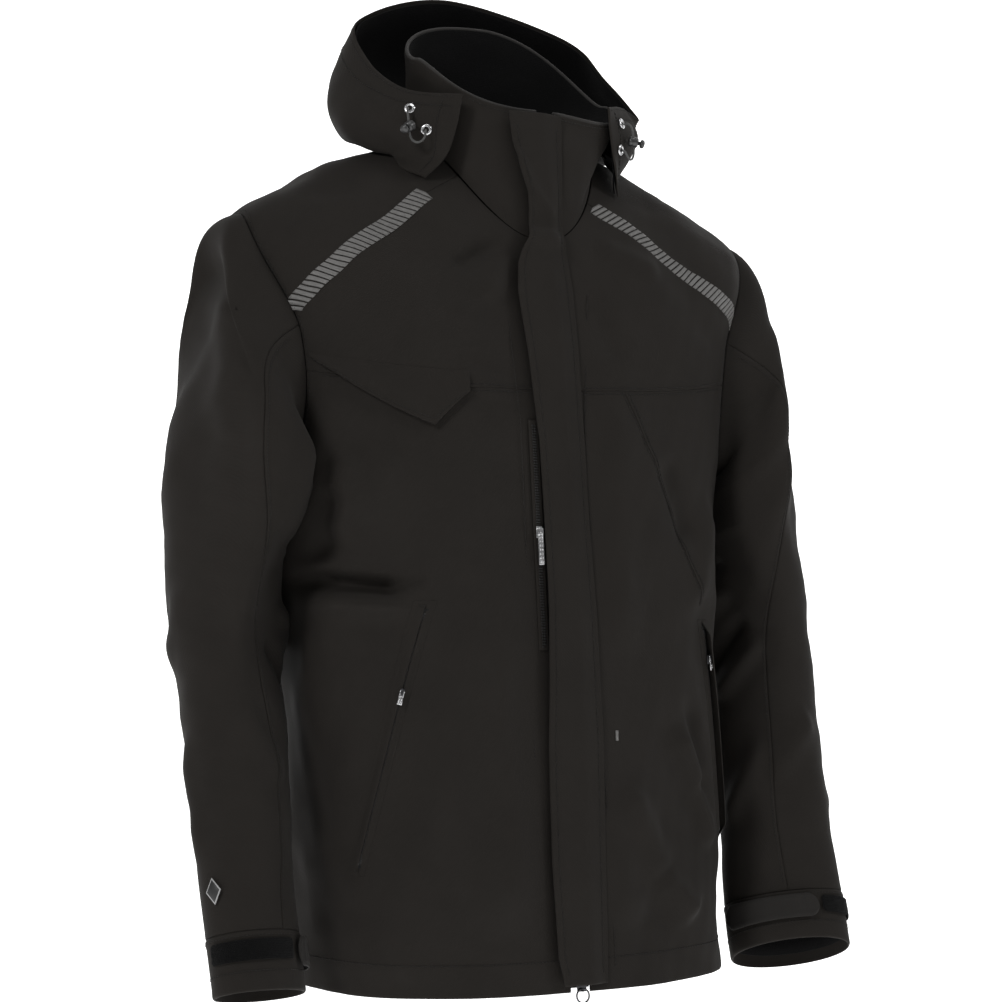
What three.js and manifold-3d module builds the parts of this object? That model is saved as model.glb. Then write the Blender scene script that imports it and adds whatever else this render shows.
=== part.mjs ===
// Hardshell jacket, worn shape: a zipped shell with storm flap, stand collar, hood, two sleeves and pockets.
// Millimetres, +Z up, +X to the wearer's left, -Y to the wearer's front.
// The garment is drawn with the front hem at height 0 and then moved so that the hanger loop is the origin.
import * as THREE from "three";
import { mergeVertices } from "three/addons/utils/BufferGeometryUtils.js";
import Module from "manifold-3d";

const wasm = await Module();
wasm.setup();

// ---- driving dimensions ----
const LOOP_HEIGHT = 770; // hanger loop above the front hem
const LOOP_BACK = 58; // hanger loop behind the side line
const FRONT_HEM_Y = -157; // centre front at the hem
const FRONT_SLOPE = 0.101; // how far the centre front leans back per unit of height
const FABRIC = 1.2; // shell fabric with its tape
const SEAM_GAP = 1.2; // clearance left between neighbouring panels
const LINING_IN = 3.4; // lining's outer face inside the shell's face at the collar and hood
const BODY_LINING_IN = 6.5;
const LINING = 0.8;
const FLAP_OUT = 7; // storm flap's inner face over the zip line
const FLAP_LEFT = 31; // sewn edge of the storm flap
const FLAP_RIGHT = -15; // free edge of the storm flap
const ZIP_HALF = 9; // half width of the zip tape pair
const ZIP_TOP = 776;
const ZIP_BOTTOM = 4;
const CHEST_ZIP_X = -20.5;
const PIPING_HALF = 7.5;
const CORD_DIAMETER = 2;

// ---- rings of the body: share of the way up, half width, side line y, back y,
// ---- height at front, side and back, and squareness of the outline
const BODY_RINGS = [
  [0.0, 206, -25, 126, 0, 2, -8, 2.5],
  [0.22, 206, -18, 122, 200, 200, 198, 2.5],
  [0.42, 217, -8, 112, 380, 385, 385, 2.5],
  [0.55, 225, 4, 100, 480, 490, 495, 2.6],
  [0.68, 240, 16, 102, 560, 585, 600, 2.7],
  [0.82, 258, 28, 104, 615, 680, 696, 2.6],
  [0.91, 176, 26, 96, 646, 731, 752, 2.4],
  [1.0, 86, 8, 66, 668, 765, 778, 2.1],
];
const COLLAR_RIM = [99, -12, 54, 786, 836, 882, 2.7];
const ARMHOLE = { angle: Math.PI / 2, halfAngle: 0.47, share: 0.675, halfShare: 0.16 };
const CAP_END = 0.26; // share of the sleeve where the cap has become a tube
const CAP_TILT = 58; // how far the sleeve's ring there drops towards the body

// ---- rings of the wearer's left sleeve: share, centre, half length fore and aft, half width, turn
const SLEEVE_RINGS = [
  [CAP_END, 267, 12, 490, 96, 45, 0],
  [0.4, 269, 6, 405, 84, 47, 0],
  [0.55, 274, -6, 305, 63, 50, 0.25],
  [0.75, 278, -42, 170, 49, 41, 0.75],
  [1.0, 278, -92, 8, 47, 33, 1.0],
];

// ---- left half of the hood from the front edge round to the centre back:
// ---- side share, then the neck seam, the lower roll, the belly and the face opening's rim
const HOOD_RIBS = [
  [1.0, [98, -57, 717], [88, -68, 741], [80, -74, 768], [76, -77, 796]],
  [0.8, [104, -37, 739], [114, -39, 746], [128, -41, 776], [113, -38, 804]],
  [0.55, [109, 2, 764], [140, 13, 759], [153, 15, 798], [127, 14, 838]],
  [0.28, [74, 60, 786], [112, 83, 776], [122, 88, 832], [110, 67, 885]],
  [0.0, [0, 80, 790], [0, 114, 796], [0, 130, 852], [0, 107, 920]],
];

// ---- small helpers ----
const V = (x, y, z) => new THREE.Vector3(x, y, z);
const lerp = (a, b, k) => a + (b - a) * k;
const clamp01 = (k) => Math.max(0, Math.min(1, k));
const smooth = (k) => clamp01(k) ** 2 * (3 - 2 * clamp01(k));

// A smooth curve through rows of numbers whose first entry is the parameter.
function through(rows, t) {
  let i = 0;
  while (i < rows.length - 2 && t > rows[i + 1][0]) i += 1;
  const [from, to] = [rows[i], rows[i + 1]];
  const step = to[0] - from[0];
  const before = rows[i - 1] ?? from.map((c, k) => c - (to[k] - c));
  const after = rows[i + 2] ?? to.map((c, k) => c + (c - from[k]));
  const s = (t - from[0]) / step;
  return from.slice(1).map((start, k) => {
    const end = to[k + 1];
    const leave = ((end - before[k + 1]) / (to[0] - before[0])) * step;
    const arrive = ((after[k + 1] - start) / (after[0] - from[0])) * step;
    return (
      (2 * s ** 3 - 3 * s ** 2 + 1) * start +
      (s ** 3 - 2 * s ** 2 + s) * leave +
      (3 * s ** 2 - 2 * s ** 3) * end +
      (s ** 3 - s ** 2) * arrive
    );
  });
}

const frontY = (height) => FRONT_HEM_Y + FRONT_SLOPE * height;

// A point on a ring at an angle counted from centre front towards the wearer's left.
function ringPoint([half, sideY, backY, frontZ, sideZ, backZ, square], angle, frontPower = 2) {
  const [s, c] = [Math.sin(angle), Math.cos(angle)];
  const x = half * Math.sign(s) * Math.abs(s) ** (2 / square);
  const k = Math.abs(c) ** (2 / square);
  if (c >= 0) {
    const z = lerp(sideZ, frontZ, c ** frontPower);
    return V(x, lerp(sideY, frontY(frontZ), k), z);
  }
  return V(x, lerp(sideY, backY, k), lerp(sideZ, backZ, c * c));
}
const torso = (angle, share) => ringPoint(through(BODY_RINGS, share), angle);

function collar(angle, share) {
  const low = BODY_RINGS[BODY_RINGS.length - 1].slice(1);
  const ring = low.map((c, k) => lerp(c, COLLAR_RIM[k], share));
  return ringPoint(ring, angle, lerp(2, 1.5, share));
}
// The angle at which a ring reaches a given distance from the centre front line.
function angleAt(x, half, square) {
  return Math.asin((x / half) ** (square / 2));
}
function torsoAngleAt(x, share) {
  const ring = through(BODY_RINGS, share);
  return angleAt(x, ring[0], ring[6]);
}

function armhole(angle) {
  const u = ARMHOLE.angle + ARMHOLE.halfAngle * Math.cos(angle);
  return torso(u, ARMHOLE.share + ARMHOLE.halfShare * Math.sin(angle));
}
function sleeveTube(angle, share) {
  const [x, y, z, along, across, turn] = through(SLEEVE_RINGS, share);
  const [before, after] = [-1e-3, 1e-3].map((step) => V(...through(SLEEVE_RINGS, share + step)));
  const d = after.sub(before).normalize();
  const fore = V(0.883 * turn, 0.531 * turn - 1, 0);
  fore.addScaledVector(d, -d.dot(fore)).normalize();
  const side = fore.clone().cross(d);
  if (side.x < 0) side.negate();
  const tilt = CAP_TILT * Math.sin(angle) * (1 - smooth((share - CAP_END) / 0.2));
  const centre = V(x, y, z + tilt);
  return centre.addScaledVector(fore, -Math.cos(angle) * along).addScaledVector(side, Math.sin(angle) * across);
}
// The left sleeve: angle 0 is the back, a quarter turn is outwards, half a turn is the front.
function sleeve(angle, share) {
  if (share >= CAP_END) return sleeveTube(angle, share);
  const top = 0.5 + 0.5 * Math.sin(angle);
  const [start, end] = [armhole(angle), sleeveTube(angle, CAP_END)];
  const leave = V(0.78 + 0.16 * top, 0.25 * Math.cos(angle), 0.28 * top - 0.62);
  const arrive = sleeveTube(angle, CAP_END + 1e-3).sub(end);
  arrive.multiplyScalar((CAP_END / 3e-3) * (0.55 + 0.75 * top));
  const curve = new THREE.CubicBezierCurve3(
    start,
    start.clone().addScaledVector(leave, 24 + 34 * top),
    end.clone().sub(arrive),
    end,
  );
  return curve.getPoint(share / CAP_END);
}

// The hood: side share 1 is the left front edge, 0 the centre back, -1 the right front edge.
function hood(side, rise) {
  const rows = HOOD_RIBS.map(([share, ...points]) => [share, ...points.flat()]);
  const mirrored = rows.map(([share, ...c]) => [-share, ...c.map((n, k) => (k % 3 ? n : -n))]);
  const ribs = [...mirrored, ...rows.slice(0, -1).reverse()];
  const at = through(ribs, side);
  const rib = [0, 1, 2, 3].map((k) => [k / 3, ...at.slice(3 * k, 3 * k + 3)]);
  return V(...through(rib, rise));
}

// ---- solids ----
function geometryOf(points, triangles) {
  const g = new THREE.BufferGeometry();
  g.setAttribute("position", new THREE.Float32BufferAttribute(points.flatMap((p) => [p.x, p.y, p.z]), 3));
  g.setIndex(triangles);
  return g;
}
function solidOf(geometry) {
  const plain = new THREE.BufferGeometry();
  const source = geometry.index ? geometry.toNonIndexed() : geometry;
  plain.setAttribute("position", source.getAttribute("position"));
  const merged = mergeVertices(plain, 1e-4);
  const [vertProperties, triVerts] = [merged.attributes.position.array, new Uint32Array(merged.index.array)];
  return new wasm.Manifold(new wasm.Mesh({ numProp: 3, vertProperties, triVerts }));
}
function geometryFrom(solid) {
  const m = solid.getMesh();
  const g = new THREE.BufferGeometry();
  g.setAttribute("position", new THREE.BufferAttribute(new Float32Array(m.vertProperties), 3));
  g.setIndex(new THREE.BufferAttribute(new Uint32Array(m.triVerts), 1));
  return g;
}
const cut = (geometry, ...tools) =>
  geometryFrom(tools.reduce((s, t) => s.subtract(solidOf(t)), solidOf(geometry)));
const join = (...parts) => geometryFrom(parts.slice(1).reduce((s, p) => s.add(solidOf(p)), solidOf(parts[0])));

function normalAt(at, w, v) {
  const e = 1e-3;
  const across = at(w + e, v).sub(at(w - e, v));
  const up = at(w, v + e).sub(at(w, v - e));
  return across.cross(up).normalize();
}
// A thick sheet over a surface at(w, v): w runs round, v runs up, and the faces lie at two
// offsets along the outward normal. A ring closes on itself in w.
function sheet(at, across, up, outer, inner, ring = false) {
  const points = [];
  const columns = ring ? across : across + 1;
  for (const offset of [outer, inner]) {
    for (let i = 0; i < columns; i += 1) {
      for (let j = 0; j <= up; j += 1) {
        const [w, v] = [i / across, j / up];
        points.push(at(w, v).addScaledVector(normalAt(at, w, v), offset));
      }
    }
  }
  const id = (layer, i, j) => layer * columns * (up + 1) + (i % columns) * (up + 1) + j;
  const faces = [];
  const quad = (a, b, c, d) => faces.push(a, b, c, a, c, d);
  for (let i = 0; i < across; i += 1) {
    for (let j = 0; j < up; j += 1) {
      quad(id(0, i, j), id(0, i + 1, j), id(0, i + 1, j + 1), id(0, i, j + 1));
      quad(id(1, i, j), id(1, i, j + 1), id(1, i + 1, j + 1), id(1, i + 1, j));
    }
    quad(id(0, i + 1, 0), id(0, i, 0), id(1, i, 0), id(1, i + 1, 0));
    quad(id(0, i, up), id(0, i + 1, up), id(1, i + 1, up), id(1, i, up));
  }
  for (let j = 0; j < up && !ring; j += 1) {
    quad(id(0, 0, j), id(0, 0, j + 1), id(1, 0, j + 1), id(1, 0, j));
    quad(id(0, across, j + 1), id(0, across, j), id(1, across, j), id(1, across, j + 1));
  }
  return geometryOf(points, faces);
}
// The same sheet mirrored to the wearer's right.
function mirrored(geometry) {
  const g = geometry.clone();
  g.applyMatrix4(new THREE.Matrix4().makeScale(-1, 1, 1));
  const order = Array.from(g.index.array);
  for (let i = 0; i < order.length; i += 3) [order[i + 1], order[i + 2]] = [order[i + 2], order[i + 1]];
  g.setIndex(order);
  return g;
}
const block = (w, d, h, x = 0, y = 0, z = 0) => new THREE.BoxGeometry(w, d, h).translate(x, y, z);

const welded = (geometry) => {
  if (geometry.index) return geometry.clone();
  return mergeVertices(geometry.clone().deleteAttribute("normal").deleteAttribute("uv"));
};

// A frame on a surface: x along the given direction, y outwards, z completing it.
function placedOn(geometry, origin, along, out) {
  const y = out.clone().normalize();
  const z = along.clone().addScaledVector(y, -along.dot(y)).normalize();
  const x = y.clone().cross(z);
  const basis = new THREE.Matrix4().makeBasis(x, y, z).setPosition(origin);
  return welded(geometry).applyMatrix4(basis);
}
const FRONT_UP = V(0, FRONT_SLOPE, 1).normalize();
const FRONT_OUT = V(0, -1, FRONT_SLOPE).normalize();
const onFront = (x, out, height) => V(x, frontY(height), height).addScaledVector(FRONT_OUT, out);

// A straight bar along the front line, with its section drawn in (across, outwards).
function frontBar(section, low, high) {
  const shape = new THREE.Shape(section.map(([x, out]) => new THREE.Vector2(x, out)));
  const length = (high - low) / FRONT_UP.z;
  const bar = new THREE.ExtrudeGeometry(shape, { depth: length, bevelEnabled: false });
  const basis = new THREE.Matrix4().makeBasis(V(1, 0, 0), FRONT_OUT, FRONT_UP.clone().negate());
  return bar.applyMatrix4(basis.setPosition(onFront(0, 0, high)));
}

// ---- materials ----
const paint = (color, roughness, metalness = 0) =>
  new THREE.MeshStandardMaterial({ color, roughness, metalness });
const SHELL = paint(0x2a2927, 0.8);
const LINING_DARK = paint(0x141414, 0.85);
const TRIM = paint(0x1f1e1d, 0.6);
const REFLECTIVE = paint(0x8c8a87, 0.4);
const METAL = paint(0xb8b8ba, 0.3, 1);
const DARK_METAL = paint(0x3a3a3c, 0.4, 1);
const MOULDED = paint(0x9a9a98, 0.45);
const LOOP_PILE = paint(0x0f0f0f, 0.95);

const jacket = new THREE.Group();
jacket.position.set(0, -LOOP_BACK, -LOOP_HEIGHT);
function add(name, geometry, material) {
  const mesh = new THREE.Mesh(geometry, material);
  mesh.name = name;
  jacket.add(mesh);
}
const SIDES = [["left", 1], ["right", -1]];
const sided = (geometry, sign) => (sign > 0 ? geometry : mirrored(geometry));

// ---- body panels ----
const CHEST_SEAM = 0.63;
const SIDE_SEAM = 1.76;
const FRONT_EDGE = ZIP_HALF + 0.5;
const seamShare = SEAM_GAP / 800;
// The yoke seam and its reflective print on each side, which drapes a little differently: share, angle.
const PIPING_LINES = {
  left: [
    [0.68, 1.24], [0.708, 1.19], [0.735, 1.03], [0.762, 0.862], [0.8, 0.71], [0.843, 0.615],
    [0.877, 0.6], [0.916, 0.628], [0.961, 0.66], [1.0, 0.7],
  ],
  right: [
    [0.68, 1.2], [0.707, 1.129], [0.753, 0.921], [0.812, 0.755], [0.871, 0.732], [0.917, 0.775],
    [0.951, 0.832], [1.0, 0.9],
  ],
};
const PIPING_TOP = { left: 0.965, right: 0.94 };
const pipingAngle = (side, share) => through(PIPING_LINES[side], Math.max(share, 0.68))[0];

// The armhole as a plug through the shell, used to cut the panels.
function armholePlug(sign, grow) {
  const [around, centre] = [28, armhole(0).add(armhole(Math.PI)).multiplyScalar(0.5)];
  const points = [];
  for (const reach of [-45, 60]) {
    for (let i = 0; i < around; i += 1) {
      const p = armhole((2 * Math.PI * i) / around);
      const away = p.clone().sub(centre).setX(0).normalize();
      points.push(p.addScaledVector(away, grow).add(V(reach, 0, 0)));
    }
  }
  const faces = [];
  for (let i = 0; i < around; i += 1) {
    const j = (i + 1) % around;
    faces.push(i, j, around + j, i, around + j, around + i);
    if (i > 0 && j > 0) faces.push(0, j, i, around, around + i, around + j);
  }
  const plug = geometryOf(points, faces);
  return sign > 0 ? plug : mirrored(plug);
}
const ARMHOLE_PLUGS = SIDES.map(([, sign]) => armholePlug(sign, SEAM_GAP / 2));
const LINING_PLUGS = SIDES.map(([, sign]) => armholePlug(sign, 3));

for (const [side, sign] of SIDES) {
  const front = sheet(
    (w, v) => {
      const share = lerp(0.032, CHEST_SEAM - seamShare, v);
      return torso(lerp(torsoAngleAt(FRONT_EDGE, share), SIDE_SEAM - 0.004, w), share);
    },
    8, 8, 0, -FABRIC,
  );
  add(`front_panel_${side}`, cut(sided(front, sign), ...ARMHOLE_PLUGS), SHELL);
  const chest = sheet(
    (w, v) => {
      const share = lerp(CHEST_SEAM + seamShare, 0.992, v);
      return torso(lerp(torsoAngleAt(FRONT_EDGE, share), pipingAngle(side, share) - 0.035, w), share);
    },
    5, 9, 0, -FABRIC,
  );
  add(`chest_yoke_${side}`, cut(sided(chest, sign), ...ARMHOLE_PLUGS), SHELL);
  const piping = sheet(
    (w, v) => {
      const share = lerp(0.7, PIPING_TOP[side], v);
      const half = PIPING_HALF / through(BODY_RINGS, share)[0];
      return torso(pipingAngle(side, share) + lerp(-half, half, w), share);
    },
    1, 9, 3.4, 2.8,
  );
  add(`reflective_piping_${side}`, sided(piping, sign), REFLECTIVE);
}
const back = sheet(
  (w, v) => torso(lerp(SIDE_SEAM + 0.004, 2 * Math.PI - SIDE_SEAM - 0.004, w), lerp(0.032, 0.8, v)),
  12, 9, 0, -FABRIC,
);
add("back_panel", cut(back, ...ARMHOLE_PLUGS), SHELL);
const yoke = sheet(
  (w, v) => {
    const [left, right] = ["left", "right"].map((side) => pipingAngle(side, lerp(0.68, 0.992, v)) + 0.02);
    const angle = lerp(left, 2 * Math.PI - right, w);
    const fromSide = Math.min(angle, 2 * Math.PI - angle);
    return torso(angle, lerp(lerp(0.68, 0.805 + seamShare, smooth((fromSide - 1.4) / 0.34)), 0.992, v));
  },
  22, 5, 0, -FABRIC,
);
add("shoulder_yoke", cut(yoke, ...ARMHOLE_PLUGS), SHELL);

const openRing = (ringAt, halfGap) => (w, v) => {
  const gap = halfGap(v);
  return ringAt(lerp(gap, 2 * Math.PI - gap, w), v);
};
const collarGap = (v) => angleAt(FRONT_EDGE, lerp(BODY_RINGS[7][1], COLLAR_RIM[0], v), lerp(2.1, 2.7, v));
const collarOuter = openRing((u, v) => collar(u, lerp(0.02, 1, v)), collarGap);
add("collar_outer", sheet(collarOuter, 20, 3, 0, -FABRIC), SHELL);
add(
  "collar_lining",
  sheet(openRing((u, v) => collar(u, lerp(0.02, 0.99, v)), collarGap), 20, 3, -LINING_IN, -LINING_IN - LINING),
  LINING_DARK,
);
const lining = sheet(
  openRing((u, v) => torso(u, lerp(0.04, 0.985, v)), (v) => torsoAngleAt(24, lerp(0.04, 0.985, v))),
  20, 9, -BODY_LINING_IN, -BODY_LINING_IN - LINING,
);
add("body_lining", cut(lining, ...LINING_PLUGS), LINING_DARK);
const hem = openRing((u, v) => torso(u, lerp(0.0, 0.03, v)), () => torsoAngleAt(FRONT_EDGE, 0));
add("hem_band", sheet(hem, 24, 1, 0.2, -2.2), SHELL);

// ---- centre front ----
const TAPE_SECTION = [
  [0.4, -2.2], [3, -2.2], [3, -1.6], [ZIP_HALF, -1.6], [ZIP_HALF, -0.6], [3, -0.6], [3, 0.6], [0.4, 0.6],
];
for (const [side, sign] of SIDES) {
  const section = TAPE_SECTION.map(([x, out]) => [sign * x, out]);
  add(`zip_tape_${side}`, frontBar(section, ZIP_BOTTOM, ZIP_TOP), TRIM);
}
const guard = [[-21, -9.5], [22, -9.5], [22, -8.5], [-21, -8.5]];
add("inner_zip_guard", frontBar(guard, 30, 764), SHELL);
const flapSection = [
  [FLAP_RIGHT, FLAP_OUT], [FLAP_LEFT, FLAP_OUT], [FLAP_LEFT, FLAP_OUT + 1.6], [FLAP_RIGHT, FLAP_OUT + 1.6],
];
add("storm_flap", frontBar(flapSection, 6, 782), SHELL);

// A zip slider: a plate on the teeth with a post that carries its pull. Its frame has x across,
// y outwards and z up along the zip, and its origin is the pull's pivot.
const PIVOT_OUT = 3.6; // pivot above the tape
function slider(width, length) {
  const plate = block(width, 1.7, length, 0, -PIVOT_OUT + 1.75, -length / 4);
  const post = block(2.4, 2.2, 3.2, 0, -0.1, 0.2);
  return join(plate, post);
}
// A pull: a bar with a fork that straddles the post.
function pull(width, length, thickness) {
  const prong = width / 2 - 1.55;
  const bar = block(width, thickness, length - 3, 0, 0, -(length + 3) / 2);
  const prongs = [-1, 1].map((k) => block(prong, thickness, 4.2, (k * (width - prong)) / 2, 0, -1.5));
  return join(bar, ...prongs);
}
const frontPiece = (geometry, x, out, height) =>
  placedOn(geometry, onFront(x, out, height), FRONT_UP, FRONT_OUT);
const MAIN_SLIDER_HEIGHT = 762;
const LOW_SLIDER_HEIGHT = 3;
add("main_zip_slider", frontPiece(slider(9, 13), 0, PIVOT_OUT, MAIN_SLIDER_HEIGHT), DARK_METAL);
add("main_zip_pull", frontPiece(pull(6, 26, 1.2), 0, PIVOT_OUT, MAIN_SLIDER_HEIGHT), MOULDED);
const ring = new THREE.TorusGeometry(6.2, 0.75, 8, 20).rotateX(Math.PI / 2).translate(0, 0, -6.2);
const lowPlate = block(9, 1.7, 10, 0, -PIVOT_OUT + 1.75, 2.4);
const hook = block(1.8, 3.4, 1.6, 0, 0.1, -1.8);
add("bottom_zip_slider", frontPiece(join(lowPlate, hook), 0, PIVOT_OUT, LOW_SLIDER_HEIGHT), DARK_METAL);
add("bottom_zip_ring", frontPiece(ring, 0, PIVOT_OUT, LOW_SLIDER_HEIGHT), DARK_METAL);

// Chest pocket zip beside the storm flap's free edge.
const chestTape = [[CHEST_ZIP_X - 5, 1], [CHEST_ZIP_X + 5, 1], [CHEST_ZIP_X + 5, 1.7], [CHEST_ZIP_X - 5, 1.7]];
add("chest_zip_tape", frontBar(chestTape, 300, 505), TRIM);
const CHEST_SLIDER_HEIGHT = 407;
const chestOut = 2 + PIVOT_OUT - 0.9;
add("chest_zip_slider", frontPiece(slider(7, 10), CHEST_ZIP_X, chestOut, CHEST_SLIDER_HEIGHT), METAL);
add("chest_zip_pull", frontPiece(pull(6, 33, 1.4), CHEST_ZIP_X, chestOut, CHEST_SLIDER_HEIGHT), METAL);
const chestBag = block(78, 1.2, 160);
add("chest_pocket_bag", frontPiece(chestBag, -70, -20.5, 440), LINING_DARK);

// Hanger loop: a strap standing off the collar seam.
const LOOP_Z = LOOP_HEIGHT - 4;
const loopOuter = block(46, 10, 7, 0, LOOP_BACK - 3, LOOP_Z);
const loopInner = block(38, 6, 9, 0, LOOP_BACK - 2.5, LOOP_Z);
add("hanger_loop", cut(loopOuter, loopInner), TRIM);

// ---- hand pockets: a slanted line on each front panel ----
const POCKET_LINES = { left: [[0.8, 0.355], [1.15, 0.13]], right: [[0.545, 0.378], [1.08, 0.115]] };
const pocketLine = (side, k) => {
  const [top, low] = POCKET_LINES[side];
  return [lerp(top[0], low[0], k), lerp(top[1], low[1], k)];
};
const pocketPoint = (side, k, offset) => {
  const [angle, share] = pocketLine(side, k);
  return torso(angle + offset, share);
};
const pocketNormal = (side, k) => normalAt(torso, ...pocketLine(side, k));
const POCKET_SLIDERS = { left: 0.17, right: 0.33 };
for (const [side, sign] of SIDES) {
  const strip = (low, high, outer, inner, near, far) =>
    sheet((w, v) => pocketPoint(side, lerp(high, low, v), lerp(near, far, w)), 1, 8, outer, inner);
  add(`hand_zip_tape_${side}`, sided(strip(0.03, 0.97, 3.4, 2.8, -0.02, 0.02), sign), TRIM);
  add(`hand_pocket_welt_${side}`, sided(strip(0, 1, 4.4, 2.8, 0.03, 0.085), sign), SHELL);
  const front = POCKET_LINES[side][0][0] - 0.2;
  const bag = sheet((w, v) => torso(lerp(front, front + 0.44, w), lerp(0.08, 0.36, v)), 3, 4, -12.5, -14);
  add(`hand_pocket_bag_${side}`, sided(bag, sign), LINING_DARK);
  const [here, out] = [pocketPoint(side, POCKET_SLIDERS[side], 0), pocketNormal(side, POCKET_SLIDERS[side])];
  const above = pocketPoint(side, POCKET_SLIDERS[side] - 0.02, 0);
  const uphill = above.sub(pocketPoint(side, POCKET_SLIDERS[side] + 0.02, 0));
  const origin = here.clone().addScaledVector(out, 3.2 + PIVOT_OUT);
  add(`hand_zip_slider_${side}`, sided(placedOn(slider(6, 9), origin, uphill, out), sign), DARK_METAL);
  add(`hand_zip_pull_${side}`, sided(placedOn(pull(5.4, 17, 1.2), origin, uphill, out), sign), MOULDED);
}

// ---- chest pocket flap on the wearer's right, with its point towards the front ----
const FLAP_POINT = 0.21; // share of the width from the front corner to the point
const [FLAP_FRONT_LOW, FLAP_POINT_LOW, FLAP_SIDE_LOW, FLAP_HIGH] = [0.625, 0.574, 0.645, 0.654];
const flapBottom = (w) => {
  if (w < FLAP_POINT) return lerp(FLAP_FRONT_LOW, FLAP_POINT_LOW, w / FLAP_POINT);
  return lerp(FLAP_POINT_LOW, FLAP_SIDE_LOW, (w - FLAP_POINT) / (1 - FLAP_POINT));
};
const flapAt = (w, v) => torso(lerp(0.24, 1.06, w), lerp(flapBottom(w), FLAP_HIGH, v));
const chestFlap = sheet(flapAt, 19, 2, 4.2, 2.9);
add("chest_pocket_flap", mirrored(chestFlap), SHELL);

// ---- sleeves ----
const twist = (share) => smooth((share - 0.3) / 0.55);
const frontSeam = (share) => 3.05 + 1.6 * twist(share);
const backSeam = (share) => -0.5 + 1.2 * twist(share);
const CUFF_START = 0.925;
const CUFFS = {
  left: { patch: [2.2, 4.1], tab: [4.2, 5.9] },
  right: { patch: [2.9, 4.85], tab: [4.95, 6.65] },
};
for (const [side, sign] of SIDES) {
  const panel = (from, to, columns) =>
    sheet(
      (w, v) => {
        const share = lerp(0.012, CUFF_START, v);
        return sleeve(lerp(from(share) + 0.012, to(share) - 0.012, w), share);
      },
      columns, 9, 0, -FABRIC,
    );
  add(`sleeve_top_panel_${side}`, sided(panel(backSeam, frontSeam, 8), sign), SHELL);
  add(`sleeve_under_panel_${side}`, sided(panel(frontSeam, (s) => backSeam(s) + 2 * Math.PI, 7), sign), SHELL);
  const cuffAt = (w, v) => sleeve(2 * Math.PI * w, lerp(CUFF_START + 0.0025, 1, v));
  add(`cuff_band_${side}`, sided(sheet(cuffAt, 16, 1, 0.2, -1.8, true), sign), SHELL);
  const band = ([from, to], low, high) => (w, v) => sleeve(lerp(from, to, w), lerp(low, high, v));
  const { patch, tab } = CUFFS[side];
  add(`cuff_loop_patch_${side}`, sided(sheet(band(patch, 0.936, 0.962), 7, 1, 2.9, 2.2), sign), LOOP_PILE);
  add(`cuff_tab_${side}`, sided(sheet(band(tab, 0.932, 0.97), 6, 1, 6, 4.4), sign), TRIM);
}
const badge = new THREE.CylinderGeometry(12, 12, 1.2, 4);
const badgeOut = normalAt((a, s) => sleeve(a, s), 3.15, 0.87);
const badgeCentre = sleeve(3.15, 0.87).addScaledVector(badgeOut, 3.2);
add("sleeve_badge", mirrored(placedOn(badge, badgeCentre, V(0.05, 0.3, 1), badgeOut)), TRIM);

// ---- hood ----
const hoodAt = (w, v) => hood(1 - 2 * w, v);
add("hood_shell", sheet(hoodAt, 24, 6, 0, -FABRIC), SHELL);
const hoodInside = (w, v) => hoodAt(lerp(0.01, 0.99, w), lerp(0.03, 0.98, v));
add("hood_lining", sheet(hoodInside, 24, 6, -LINING_IN, -LINING_IN - LINING), LINING_DARK);

// Drawcord eyelets, one cord each side through its lock, and the lock's sprung plunger.
const eyeletProfile = [[2.3, 0], [4.9, 0], [5, 0.5], [4.4, 1.3], [2.9, 1.3], [2.3, 0.6], [2.3, 0]];
const lathe = (profile, sides) =>
  new THREE.LatheGeometry(profile.map(([r, y]) => new THREE.Vector2(r, y)), sides);
const eyelet = lathe(eyeletProfile, 16);
const hoodOut = ([side, rise]) => normalAt(hoodAt, (1 - side) / 2, rise);
// Each side's fittings, drawn on the left: the eyelets' places on the hood, the lock's middle, the way the
// cord runs through it, the way its plunger points, and the cord's route from the upper eyelet to the lower.
const DRAWCORDS = {
  left: {
    upper: [0.915, 0.816],
    lower: [0.945, 0.544],
    lock: V(108.9, -64.3, 767.8),
    through: V(0.282, 0.339, -0.899).normalize(),
    plunger: V(0.915, -0.337, -0.209).normalize(),
    route: [
      [99.8, -62.6, 783.7], [101.0, -64.8, 784.2], [102.6, -66.7, 783.6], [104.4, -67.9, 781.4],
      [106.0, -67.8, 778.1], [107.4, -66.6, 773.8], [108.7, -64.9, 769.3], [110.0, -63.0, 764.3],
      [111.2, -61.7, 759.7], [110.9, -61.5, 755.6], [108.7, -62.5, 752.2], [105.2, -64.6, 751.3],
      [101.9, -66.8, 752.7], [99.5, -67.7, 755.7], [97.8, -67.4, 758.2], [96.2, -65.7, 759.1],
    ],
  },
  right: {
    upper: [0.849, 0.778],
    lower: [0.91, 0.587],
    lock: V(119.5, -58.2, 766.4),
    through: V(-0.094, 0.032, -0.997).normalize(),
    plunger: V(0.783, -0.452, -0.421).normalize(),
    route: [
      [117.0, -51.1, 783.1], [118.5, -53.1, 783.8], [119.8, -55.3, 783.3], [120.7, -57.2, 781.0],
      [120.9, -58.2, 777.5], [120.5, -58.4, 772.9], [120.0, -58.3, 767.9], [119.2, -58.1, 762.5],
      [118.6, -58.3, 757.6], [116.7, -59.3, 754.0], [113.4, -61.1, 752.2], [109.9, -63.2, 753.3],
      [107.5, -64.5, 756.5], [106.5, -64.4, 760.3], [105.8, -63.2, 763.1], [104.6, -61.1, 763.8],
    ],
  },
};
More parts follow.
